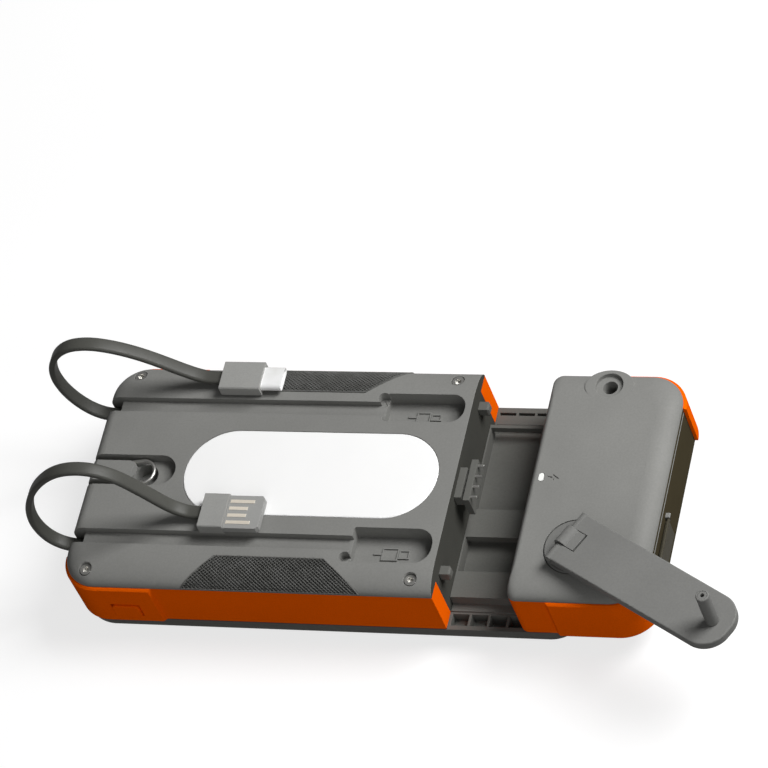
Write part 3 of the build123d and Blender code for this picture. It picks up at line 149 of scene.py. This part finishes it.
# ---------------------------------------------------------------- leads
LINE_RESOLUTION = 10                      # points of the smooth line for each point of the route
LEAD_EDGE = 0.85                          # radius of a lead's rounded edges
EDGE_POINTS = 6                           # points round each of them


def nurbs_line(name, route):
    """The smooth line of a route: its points are the control points."""
    curve = bpy.data.curves.new(name, "CURVE")
    curve.dimensions = "3D"
    curve.resolution_u = LINE_RESOLUTION
    spline = curve.splines.new("NURBS")
    spline.points.add(len(route) - 1)
    for point, place in zip(spline.points, route):
        point.co = (*[c * MM for c in place], 1)
    spline.order_u = 3
    spline.use_endpoint_u = True
    helper = bpy.data.objects.new(name, curve)
    scene.collection.objects.link(helper)
    bpy.context.view_layer.update()
    mesh = bpy.data.meshes.new_from_object(helper)
    line = [v.co.copy() for v in mesh.vertices]
    bpy.data.objects.remove(helper)
    bpy.data.meshes.remove(mesh)
    return line


def ribbon_section():
    """Section of a flat lead: a rectangle with rounded edges."""
    x, y = LEAD_WIDTH / 2 - LEAD_EDGE, LEAD_THICK / 2 - LEAD_EDGE
    turn = 90 / (EDGE_POINTS - 1)
    ring = []
    for cx, cy, start in ((x, y, 0), (-x, y, 90), (-x, -y, 180), (x, -y, 270)):
        for step in range(EDGE_POINTS):
            a = math.radians(start + turn * step)
            ring.append((cx + LEAD_EDGE * math.cos(a), cy + LEAD_EDGE * math.sin(a)))
    return ring


def flat_lead(name, route):
    """A lead along its route, with its flat side kept level across the body."""
    line = nurbs_line(name + "_line", route)
    ring = ribbon_section()
    verts, faces = [], []
    count = len(ring)
    for i, place in enumerate(line):
        before, after = line[max(i - 1, 0)], line[min(i + 1, len(line) - 1)]
        along = (after - before).normalized()
        side = (Vector((0, 1, 0)) - along * along.y).normalized()
        up = along.cross(side)
        for u, v in ring:
            verts.append(place + side * (u * MM) + up * (v * MM))
    for i in range(len(line) - 1):
        here, there = i * count, (i + 1) * count
        for j in range(count):
            k = (j + 1) % count
            faces.append((here + j, here + k, there + k, there + j))
    faces.append(tuple(range(count)))
    faces.append(tuple((len(line) - 1) * count + j for j in reversed(range(count))))
    obj = mesh_of(name, verts, faces)
    face_outwards(obj)
    length = sum((b - a).length for a, b in zip(line, line[1:]))
    return obj, line, length


usb_ribbon, usb_line, usb_length = flat_lead("usb_lead_ribbon", USB_ROUTE)
small_ribbon, small_line, small_length = flat_lead("small_lead_ribbon", SMALL_ROUTE)
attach(usb_ribbon, "main_unit")
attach(small_ribbon, "main_unit")
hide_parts("usb_lead")
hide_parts("small_lead")


# ---------------------------------------------------------------- material tools
MIX_FACTOR, MIX_A, MIX_B, MIX_RESULT = 0, 6, 7, 2      # a mix node's sockets for colours
NOISE_BAND = (0.3, 0.7)                   # nearly all of a noise value lies between these
EDGE_SAMPLES = 4
EDGE_DOTS = (0.80, 0.995)                 # rounded against true normal, on an edge and on flat skin
WALL_NORMAL = 0.93                        # least x of the normal of a face that counts as end wall


class Graph:
    """Short names for building one node material. Texture scales are repeats per metre."""

    def __init__(self, name):
        self.material = bpy.data.materials.new(name)
        self.material.use_nodes = True
        self.tree = self.material.node_tree
        self.shader = self.tree.nodes["Principled BSDF"]
        self.place = self.add("ShaderNodeTexCoord").outputs["Object"]

    def add(self, kind, **values):
        node = self.tree.nodes.new(kind)
        for key, value in values.items():
            if key in node.inputs:
                node.inputs[key].default_value = value
            else:
                setattr(node, key, value)
        return node

    def wire(self, a, b):
        self.tree.links.new(a, b)

    def stretched(self, scale):
        node = self.add("ShaderNodeMapping", Scale=scale)
        self.wire(self.place, node.inputs["Vector"])
        return node.outputs["Vector"]

    def noise(self, scale, detail, rough, place=None):
        node = self.add("ShaderNodeTexNoise", Scale=scale, Detail=detail, Roughness=rough)
        self.wire(place or self.place, node.inputs["Vector"])
        return node.outputs["Fac"]

    def cells(self, scale):
        node = self.add("ShaderNodeTexVoronoi", Scale=scale)
        self.wire(self.place, node.inputs["Vector"])
        return node.outputs["Distance"]

    def spread(self, value, low, high, to_low, to_high):
        node = self.add("ShaderNodeMapRange", **{"From Min": low, "From Max": high,
                                                 "To Min": to_low, "To Max": to_high})
        self.wire(value, node.inputs["Value"])
        return node.outputs["Result"]

    def math(self, operation, a, b):
        node = self.add("ShaderNodeMath", operation=operation)
        for socket, value in zip(node.inputs, (a, b)):
            if isinstance(value, (int, float)):
                socket.default_value = value
            else:
                self.wire(value, socket)
        return node.outputs[0]

    def blend(self, factor, a, b):
        node = self.add("ShaderNodeMix", data_type="RGBA")
        for index, value in ((MIX_FACTOR, factor), (MIX_A, a), (MIX_B, b)):
            if isinstance(value, tuple):
                node.inputs[index].default_value = (*value, 1)
            else:
                self.wire(value, node.inputs[index])
        return node.outputs[MIX_RESULT]

    def clouded(self, cloud, color, variation, paler=None):
        """The colour a little darker to a little paler, by a noise value."""
        more = variation if paler is None else paler
        return self.blend(self.spread(cloud, *NOISE_BAND, 0, 1),
                          shade(color, 1 - variation), shade(color, 1 + more))

    def edges(self, radius):
        """0 on flat skin to 1 on a convex or concave edge, and the rounded normal."""
        soft = self.add("ShaderNodeBevel", Radius=radius)
        soft.samples = EDGE_SAMPLES
        true = self.add("ShaderNodeNewGeometry")
        dot = self.add("ShaderNodeVectorMath", operation="DOT_PRODUCT")
        self.wire(soft.outputs["Normal"], dot.inputs[0])
        self.wire(true.outputs["Normal"], dot.inputs[1])
        return self.spread(dot.outputs["Value"], *EDGE_DOTS, 1.0, 0.0), soft.outputs["Normal"]

    def end_wall_shade_mask(self, x0, x1, top):
        """1 on faces that look to the crank end, lie between two x and, if top is given, below it. In mm."""
        normal = self.add("ShaderNodeSeparateXYZ")
        self.wire(self.add("ShaderNodeNewGeometry").outputs["True Normal"], normal.inputs[0])
        place = self.add("ShaderNodeSeparateXYZ")
        self.wire(self.place, place.inputs[0])
        x = place.outputs["X"]
        inside = self.math("MULTIPLY", self.math("GREATER_THAN", x, x0 * MM),
                           self.math("LESS_THAN", x, x1 * MM))
        if top is not None:
            inside = self.math("MULTIPLY", inside, self.math("LESS_THAN", place.outputs["Z"], top * MM))
        return self.math("MULTIPLY", inside, self.math("GREATER_THAN", normal.outputs["X"], WALL_NORMAL))

    def bump(self, heights, rounded):
        """heights: (value, strength, distance in mm) laid over each other on the rounded normal."""
        last = rounded
        for value, strength, distance in heights:
            node = self.add("ShaderNodeBump", Strength=strength, Distance=distance * MM)
            self.wire(value, node.inputs["Height"])
            self.wire(last, node.inputs["Normal"])
            last = node.outputs["Normal"]
        self.wire(last, self.shader.inputs["Normal"])

    def color(self, value):
        self.wire(value, self.shader.inputs["Base Color"])

    def roughness(self, value):
        self.wire(value, self.shader.inputs["Roughness"])

    def set(self, **values):
        for key, value in values.items():
            self.shader.inputs[key.replace("_", " ")].default_value = value


def shade(color, factor):
    return tuple(min(1.0, c * factor) for c in color)


# Moulded plastic. Each noise is its scale, detail and roughness.
FLOW_CLOUDS = (38, 4, 0.6)
RUB_PATCHES = (220, 3, 0.6)
RUB_BAND = (0.42, 0.62)                   # noise values from unrubbed to fully rubbed
RUBBED_SHARE, RUBBED_GREY = 0.4, 0.45     # how far a rubbed edge turns to which grey
DULL_PATCHES = (120, 3, 0.6)
GRAIN_NOISE = (2, 0.5)                    # detail and roughness; its scale is the material's own
SPECK_BAND = (0.35, 0.7)
SPECK_SHARE, SPECK_SHADE = 0.25, 0.72     # how much of the darker speck shows, and its shade
# how much the painted shade on end walls varies
SHADE_TONE_VARIATION = 0.1
GRAIN_HEIGHT, PIT_HEIGHT = 0.06, 0.04     # mm
PIT_SCALE, PIT_STRENGTH = 0.8, 0.5        # of the grain's


def moulded(name, color, grain=1500, depth=0.35, rough=(0.42, 0.56), wear=0.35, variation=0.06,
            edge=0.28, specular=0.08, walls=()):
    """Injection-moulded plastic: spark-eroded grain, faint flow clouds, edges rubbed paler.

    Walls are given as in the end-wall table: there the colour gets a painted shade, darker and with no
    sheen.
    """
    g = Graph(name)
    cloud = g.noise(*FLOW_CLOUDS)
    fine = g.noise(grain, *GRAIN_NOISE)
    on_edge, rounded = g.edges(edge * MM)
    tone = g.clouded(cloud, color, variation)
    speck = g.blend(g.spread(fine, *SPECK_BAND, 0, SPECK_SHARE), tone, shade(color, SPECK_SHADE))
    scuff = g.math("MULTIPLY", on_edge, g.spread(g.noise(*RUB_PATCHES), *RUB_BAND, 0.0, wear))
    rubbed = tuple((1 - RUBBED_SHARE) * c + RUBBED_SHARE * RUBBED_GREY for c in color)
    skin_tone = g.blend(scuff, speck, rubbed)
    sheen = specular
    # Painted shade: faces that look to the crank end get a darker tone and lose their sheen.
    for x0, x1, top, painted_shade_tone in walls:
        mask = g.end_wall_shade_mask(x0, x1, top)
        skin_tone = g.blend(mask, skin_tone, g.clouded(cloud, painted_shade_tone, SHADE_TONE_VARIATION))
        sheen = g.math("MULTIPLY", sheen, g.math("SUBTRACT", 1.0, mask))
    if walls:
        g.wire(sheen, g.shader.inputs["Specular IOR Level"])
    else:
        g.set(Specular_IOR_Level=specular)
    g.color(skin_tone)
    g.roughness(g.spread(g.noise(*DULL_PATCHES), *NOISE_BAND, *rough))
    g.bump([(fine, depth, GRAIN_HEIGHT),
            (g.cells(grain * PIT_SCALE), depth * PIT_STRENGTH, PIT_HEIGHT)], rounded)
    return g.material


# Metal.
SMUDGES = (160, 3, 0.5)
SMUDGE_DARK, SMUDGE_PALE = 0.1, 0.05
BARE_EDGE = 1.2                           # an edge is this much brighter
SCRATCH_NOISE = (1.0, 3, 0.6)             # before it is stretched into lines
SCRATCH_STRENGTH = 0.15
SCRATCH_HEIGHT = 0.02                     # mm


def metal(name, color, rough=(0.22, 0.36), lines=(40, 40, 2200), edge=0.12, metallic=1.0):
    """Turned or drawn metal with fine lines in one direction."""
    g = Graph(name)
    grain = g.noise(*SCRATCH_NOISE, g.stretched(lines))
    smudge = g.noise(*SMUDGES)
    on_edge, rounded = g.edges(edge * MM)
    tone = g.clouded(smudge, color, SMUDGE_DARK, SMUDGE_PALE)
    g.color(g.blend(on_edge, tone, shade(color, BARE_EDGE)))
    g.roughness(g.spread(grain, *NOISE_BAND, *rough))
    g.bump([(grain, SCRATCH_STRENGTH, SCRATCH_HEIGHT)], rounded)
    g.set(Metallic=metallic)
    return g.material


# Smooth skins.
SOFT_CLOUDS = (60, 3, 0.5)
SMEARS = (300, 3, 0.6)
RIPPLES = (900, 2, 0.5)
RIPPLE_STRENGTH = 0.05
RIPPLE_HEIGHT = 0.03                      # mm
COAT_ROUGHNESS = 0.12


def glossy(name, color, rough=(0.10, 0.18), coat=0.4, variation=0.06, edge=0.2):
    """Smooth moulded or laminated skin."""
    g = Graph(name)
    cloud = g.noise(*SOFT_CLOUDS)
    _, rounded = g.edges(edge * MM)
    g.color(g.clouded(cloud, color, variation))
    g.roughness(g.spread(g.noise(*SMEARS), *NOISE_BAND, *rough))
    g.bump([(g.noise(*RIPPLES), RIPPLE_STRENGTH, RIPPLE_HEIGHT)], rounded)
    g.set(Coat_Weight=coat, Coat_Roughness=COAT_ROUGHNESS)
    return g.material


# ---------------------------------------------------------------- materials
GREY = (0.230, 0.230, 0.219)
TRAY = (0.130, 0.130, 0.120)
ORANGE = (0.96, 0.128, 0.001)
# Painted shade on end walls that look to the crank end: lowest and highest x, top edge or None, tone of the
# shade.
SHADED_END_WALLS = (
    (38.5, 41.5, None, (0.062, 0.062, 0.055)),          # main unit's, towards the crank module
    (104.5, 109.5, BUMPER_TOP, (0.058, 0.048, 0.028)),  # crank module's, below its rolled edge
)

looks = {
    "cover_grey": moulded("mat_cover_grey", GREY, walls=SHADED_END_WALLS),
    "tray_grey": moulded("mat_tray_grey", TRAY, wear=0.2),
    "orange": moulded("mat_orange", ORANGE, grain=1900, depth=0.2, rough=(0.5, 0.6), wear=0.04,
                      variation=0.03, specular=0.0),
    "port_dark": moulded("mat_port_dark", (0.060, 0.054, 0.038), depth=0.25, wear=0.1),
    "grip": moulded("mat_grip", (0.125, 0.125, 0.118), depth=0.1, rough=(0.5, 0.62), wear=0.6, edge=0.22),
    "lamp_white": glossy("mat_lamp_white", (0.985, 0.985, 0.98), rough=(0.28, 0.36), coat=0.15,
                         variation=0.01),
    "solar_glass": glossy("mat_solar_glass", (0.085, 0.062, 0.076), rough=(0.10, 0.16), coat=0.6,
                          variation=0.1),
    "solar_cell": glossy("mat_solar_cell", (0.075, 0.05, 0.082), rough=(0.08, 0.13), coat=1.0,
                         variation=0.16),
    "board": glossy("mat_board", (0.015, 0.11, 0.04), variation=0.12),
    "led": glossy("mat_led", (0.85, 0.72, 0.25), rough=(0.35, 0.5), coat=0.0),
    "battery": glossy("mat_battery", (0.55, 0.56, 0.6), rough=(0.25, 0.4), coat=0.3),
    "switch_black": moulded("mat_switch_black", (0.03, 0.03, 0.03), depth=0.2),
    "steel": metal("mat_steel", (0.66, 0.65, 0.62), rough=(0.32, 0.42), lines=(60, 60, 60), metallic=0.9),
    "contact_gold": metal("mat_contact", (0.92, 0.84, 0.72), rough=(0.4, 0.5), lines=(1500, 60, 60),
                          metallic=0.35),
    "lead_grey": moulded("mat_lead_grey", (0.074, 0.074, 0.066), grain=2400, depth=0.2, rough=(0.36, 0.46),
                         wear=0.3, edge=0.6, specular=0.2),
    "plug_grey": moulded("mat_plug_grey", (0.325, 0.325, 0.312), grain=2000, depth=0.25, rough=(0.4, 0.5)),
    "tongue_grey": moulded("mat_tongue_grey", (0.335, 0.335, 0.325), grain=2200, depth=0.15,
                           rough=(0.35, 0.45)),
    "shell_metal": metal("mat_shell", (0.98, 0.98, 0.96), rough=(0.3, 0.4), lines=(60, 60, 60),
                         metallic=0.12),
    "arm_grey": moulded("mat_arm_grey", (0.188, 0.188, 0.180)),
    "gear_white": moulded("mat_gear", (0.72, 0.71, 0.65), depth=0.1),
    "generator_metal": metal("mat_generator", (0.5, 0.5, 0.52)),
    "magnet_dark": metal("mat_magnet", (0.22, 0.22, 0.24)),
    "indicator": glossy("mat_indicator", (0.92, 0.93, 0.9), rough=(0.2, 0.3), coat=0.2, variation=0.01),
}

for part in frame["record"]["subparts"]:
    mesh = nodes[part["node"]].data
    mesh.materials.clear()
    mesh.materials.append(looks[part["material_slot"]])
usb_ribbon.data.materials.append(looks["lead_grey"])
small_ribbon.data.materials.append(looks["lead_grey"])


# ---------------------------------------------------------------- knurled grips, mm
SHOULDER_DROP = BODY_TOP - BUMPER_TOP
GRIP_TOP_X = (-31.8, 4.0)                 # ends of the grip's upper edge
GRIP_LOW_X = (-42.1, 16.9)                # ends of its lower edge
GRIP_INNER_Y = 30.7                       # upper edge
GRIP_LOW_Z = 0.5                          # lower edge, above the bumper
GRIP_COLUMNS, GRIP_ROWS = 340, 84
ARC_STEPS = 150
GRIP_BORDER = 0.5
BORDER_LIFT = 0.34
BORDER_EDGE, BORDER_EDGE_LIFT = 0.1, 0.15              # outermost strip of the border
NET_CELL = 1.35
NET_LEAN = 1.25                           # travel along the body for each mm down the shoulder
RIDGE_HALF, RIDGE_FLANK = 0.13, 0.17
NET_FLOOR, NET_HEIGHT = -0.42, 0.68
SKIRT_DEPTH = 0.6                         # how far the grip reaches into the cover


def skin(y, lift):
    """Point on the rolled-off shoulder at a half width, lifted along the outward normal."""
    cos_a = max(-1.0, min(1.0, 1 - (HALF_W - abs(y)) / SHOULDER))
    sin_a = math.sqrt(max(0.0, 1 - cos_a * cos_a))
    normal = Vector((0, cos_a / SHOULDER, sin_a / SHOULDER_DROP)).normalized()
    foot = Vector((0, HALF_W - SHOULDER * (1 - cos_a), BUMPER_TOP + SHOULDER_DROP * sin_a))
    return foot + normal * lift


def shoulder_arc():
    """Points down the shoulder from the grip's upper to its lower edge, and their distances."""
    first = math.acos(1 - (HALF_W - GRIP_INNER_Y) / SHOULDER)
    last = math.asin(GRIP_LOW_Z / SHOULDER_DROP)
    distances, places = [0.0], []
    for i in range(ARC_STEPS + 1):
        a = first + (last - first) * i / ARC_STEPS
        places.append(skin(HALF_W - SHOULDER * (1 - math.cos(a)), 0))
        if i:
            distances.append(distances[-1] + (places[-1] - places[-2]).length)
    return distances, places


def half_width_at(s, distances, places):
    """Half width at a distance down the shoulder."""
    s = min(max(s, 0.0), distances[-1])
    k = next(i for i in range(1, len(distances)) if distances[i] >= s - 1e-9)
    t = (s - distances[k - 1]) / (distances[k] - distances[k - 1])
    return places[k - 1].lerp(places[k], t).y


def grip_ends(y):
    """Lowest and highest x of the grip at a half width."""
    t = (y - GRIP_INNER_Y) / (HALF_W - GRIP_INNER_Y)
    return tuple(a + (b - a) * t for a, b in zip(GRIP_TOP_X, GRIP_LOW_X))


def net(x, s):
    """1 on a diagonal ridge, 0 in the bottom of a diamond."""
    high = 0.0
    for across in (x + NET_LEAN * s, x - NET_LEAN * s):
        off = abs(across / NET_CELL - round(across / NET_CELL)) * NET_CELL
        high = max(high, 1 - min(1.0, max(0.0, (off - RIDGE_HALF) / RIDGE_FLANK)))
    return high


def grip(name, sign):
    """Border, diamond points and skirt of one side grip, as one closed mesh."""
    distances, places = shoulder_arc()
    total = distances[-1]
    verts, faces = [], []
    for j in range(GRIP_ROWS + 1):
        s = total * j / GRIP_ROWS
        y = half_width_at(s, distances, places)
        x0, x1 = grip_ends(y)
        for i in range(GRIP_COLUMNS + 1):
            x = x0 + (x1 - x0) * i / GRIP_COLUMNS
            rim = min(x - x0, x1 - x, s, total - s)
            if rim < GRIP_BORDER:
                lift = BORDER_LIFT if rim > BORDER_EDGE else BORDER_EDGE_LIFT
            else:
                lift = NET_FLOOR + NET_HEIGHT * net(x, s)
            place = skin(y, lift)
            verts.append(Vector((x, sign * place.y, place.z)) * MM)
    wide = GRIP_COLUMNS + 1
    for j in range(GRIP_ROWS):
        for i in range(GRIP_COLUMNS):
            corner = j * wide + i
            faces.append((corner, corner + 1, corner + wide + 1, corner + wide))
    outline = (list(range(wide))
               + [j * wide + GRIP_COLUMNS for j in range(1, GRIP_ROWS + 1)]
               + [GRIP_ROWS * wide + i for i in range(GRIP_COLUMNS - 1, -1, -1)]
               + [j * wide for j in range(GRIP_ROWS - 1, 0, -1)])
    start = len(verts)
    for index in outline:
        above = verts[index] / MM
        place = skin(above.y, -SKIRT_DEPTH)
        verts.append(Vector((above.x, sign * place.y, place.z)) * MM)
    for k in range(len(outline)):
        n = (k + 1) % len(outline)
        faces.append((outline[k], start + k, start + n, outline[n]))
    faces.append(tuple(start + k for k in range(len(outline))))
    obj = mesh_of(name, verts, faces, smooth=False)
    face_outwards(obj, cut_large=True)
    return obj


for side, sign in (("near", -1), ("far", 1)):
    pad = grip(f"grip_knurl_{side}", sign)
    pad.data.materials.append(looks["grip"])
    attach(pad, "main_unit")
    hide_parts(f"grip_pad_{side}")


# ---------------------------------------------------------------- small raised detail, mm
BLOCK_FACES = ((0, 2, 3, 1), (4, 5, 7, 6), (0, 1, 5, 4), (2, 6, 7, 3), (0, 4, 6, 2), (1, 3, 7, 5))


def boxes(name, spans, body, material):
    """Many small closed blocks as one piece: spans are (x0, x1, y0, y1, z0, z1)."""
    verts, faces = [], []
    for x0, x1, y0, y1, z0, z1 in spans:
        n = len(verts)
        verts += [Vector((x, y, z)) * MM for z in (z0, z1) for y in (y0, y1) for x in (x0, x1)]
        for quad in BLOCK_FACES:
            faces.append(tuple(n + k for k in quad))
    piece = mesh_of(name, verts, faces, smooth=False)
    piece.data.materials.append(material)
    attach(piece, body)
    return piece


SOLAR_HALF_L = 70.7
SOLAR_ROWS, SOLAR_LINES = 7, 8
ROW_STEP = 2 * SOLAR_HALF_L / SOLAR_ROWS
LINE_STEP = ROW_STEP / (SOLAR_LINES + 1)
LINE_INNER_Y, LINE_OUTER_Y = 1.7, 28.9
LINE_HALF = 0.3                           # half the width of a line
LINE_Z = (0.36, 0.45)

fingers = []
for row in range(SOLAR_ROWS):
    for k in range(SOLAR_LINES):
        x = -SOLAR_HALF_L + ROW_STEP * row + LINE_STEP * (k + 1)
        for y0, y1 in ((-LINE_OUTER_Y, -LINE_INNER_Y), (LINE_INNER_Y, LINE_OUTER_Y)):
            fingers.append((x - LINE_HALF, x + LINE_HALF, y0, y1, *LINE_Z))
silver = metal("mat_solar_line", (0.86, 0.76, 0.78), rough=(0.4, 0.5), lines=(80, 900, 80), metallic=0.3)
solar_fingers = boxes("solar_finger_lines", fingers, "main_unit", silver)

MARK_LINE = 0.45
MARK_SUNK, MARK_RAISED = 0.05, 0.4
MARK_Z = (POCKET_FLOOR - MARK_SUNK, POCKET_FLOOR + MARK_RAISED)
# Outline of a plug in each pocket: x of the plug's front, y of its middle, its width and length.
PLUG_MARKS = ((25.6, -25.2, 4.6, 5.4), (25.2, 25.4, 3.8, 4.6))
TONGUE_FROM, TONGUE_TO, TONGUE_INSET = 0.1, 3.6, 0.7
STUB_FROM, STUB_TO, STUB_HALF = 0.1, 2.6, 0.35


def frame_bars(x0, x1, y0, y1):
    """Outline of a rectangle as four raised bars on a pocket's floor."""
    return [(x0, x1, y0, y0 + MARK_LINE, *MARK_Z),
            (x0, x1, y1 - MARK_LINE, y1, *MARK_Z),
            (x0, x0 + MARK_LINE, y0 + MARK_LINE, y1 - MARK_LINE, *MARK_Z),
            (x1 - MARK_LINE, x1, y0 + MARK_LINE, y1 - MARK_LINE, *MARK_Z)]


marks = []
for x, y, wide, long in PLUG_MARKS:
    y0, y1 = y - wide / 2, y + wide / 2
    marks += frame_bars(x - long, x, y0, y1)
    marks += frame_bars(x + TONGUE_FROM, x + TONGUE_TO, y0 + TONGUE_INSET, y1 - TONGUE_INSET)
    marks.append((x - long - STUB_TO, x - long - STUB_FROM, y - STUB_HALF, y + STUB_HALF, *MARK_Z))
pocket_marks = boxes("pocket_plug_marks", marks, "main_unit", looks["cover_grey"])

# ---------------------------------------------------------------- floor and light
FLOOR_HALF = 4
PAPER_GRAIN = (9, 2, 0.5)
PAPER_LIT = (0.17, 0.19)                  # greys for light that bounces off the floor
PAPER_SEEN = (0.32, 0.34)                 # greys for the camera and reflections
PAPER_GLOW = 0.73
GLOSSY_SHARE = 0.3                        # how much of what the camera sees shows in reflections
WORLD_LIT, WORLD_SEEN = 0.08, 1.0

floor_corners = [(x * FLOOR_HALF, y * FLOOR_HALF, 0) for x, y in ((-1, -1), (1, -1), (1, 1), (-1, 1))]
floor_mesh = bpy.data.meshes.new("floor")
floor_mesh.from_pydata(floor_corners, [], [(0, 1, 2, 3)])
floor = link("floor", floor_mesh, False)

paper = Graph("mat_floor")
rays = paper.add("ShaderNodeLightPath")
reflected = paper.math("MULTIPLY", rays.outputs["Is Glossy Ray"], GLOSSY_SHARE)
seen = paper.math("MAXIMUM", rays.outputs["Is Camera Ray"],
                  paper.math("MAXIMUM", reflected, rays.outputs["Is Transmission Ray"]))
fibres = paper.spread(paper.noise(*PAPER_GRAIN), *NOISE_BAND, 0, 1)
lit_grey, seen_grey = (paper.blend(fibres, (low,) * 3, (high,) * 3) for low, high in (PAPER_LIT, PAPER_SEEN))
paper.color(paper.blend(seen, lit_grey, seen_grey))
paper.set(Roughness=0.9, Specular_IOR_Level=0.05)
glow = paper.add("ShaderNodeEmission", Color=(1, 1, 1, 1))
paper.wire(paper.math("MULTIPLY", seen, PAPER_GLOW), glow.inputs["Strength"])
both = paper.add("ShaderNodeAddShader")
paper.wire(paper.shader.outputs[0], both.inputs[0])
paper.wire(glow.outputs[0], both.inputs[1])
paper.wire(both.outputs[0], paper.tree.nodes["Material Output"].inputs["Surface"])
floor.data.materials.append(paper.material)

world = bpy.data.worlds.new("world")
scene.world = world
world.use_nodes = True
tree = world.node_tree
sky = tree.nodes["Background"]
sky.inputs["Color"].default_value = (1, 1, 1, 1)
sky_rays = tree.nodes.new("ShaderNodeLightPath")
level = tree.nodes.new("ShaderNodeMapRange")
level.inputs["To Min"].default_value = WORLD_LIT
level.inputs["To Max"].default_value = WORLD_SEEN
tree.links.new(sky_rays.outputs["Is Camera Ray"], level.inputs["Value"])
tree.links.new(level.outputs["Result"], sky.inputs["Strength"])


def softbox(name, at, to, power, size):
    data = bpy.data.lights.new(name, "AREA")
    data.energy = power
    data.shape = "RECTANGLE"
    data.size, data.size_y = size
    lamp = bpy.data.objects.new(name, data)
    scene.collection.objects.link(lamp)
    lamp.matrix_world = looking(at, to)


softbox("key", at=(0.60, 0.27, 0.74), to=(0, 0, 0.02), power=11.6, size=(0.5, 0.5))
softbox("fill", at=(0.5, -1.2, 0.7), to=(0, 0, 0), power=4.6, size=(0.9, 0.9))

scene.view_settings.view_transform = "Standard"
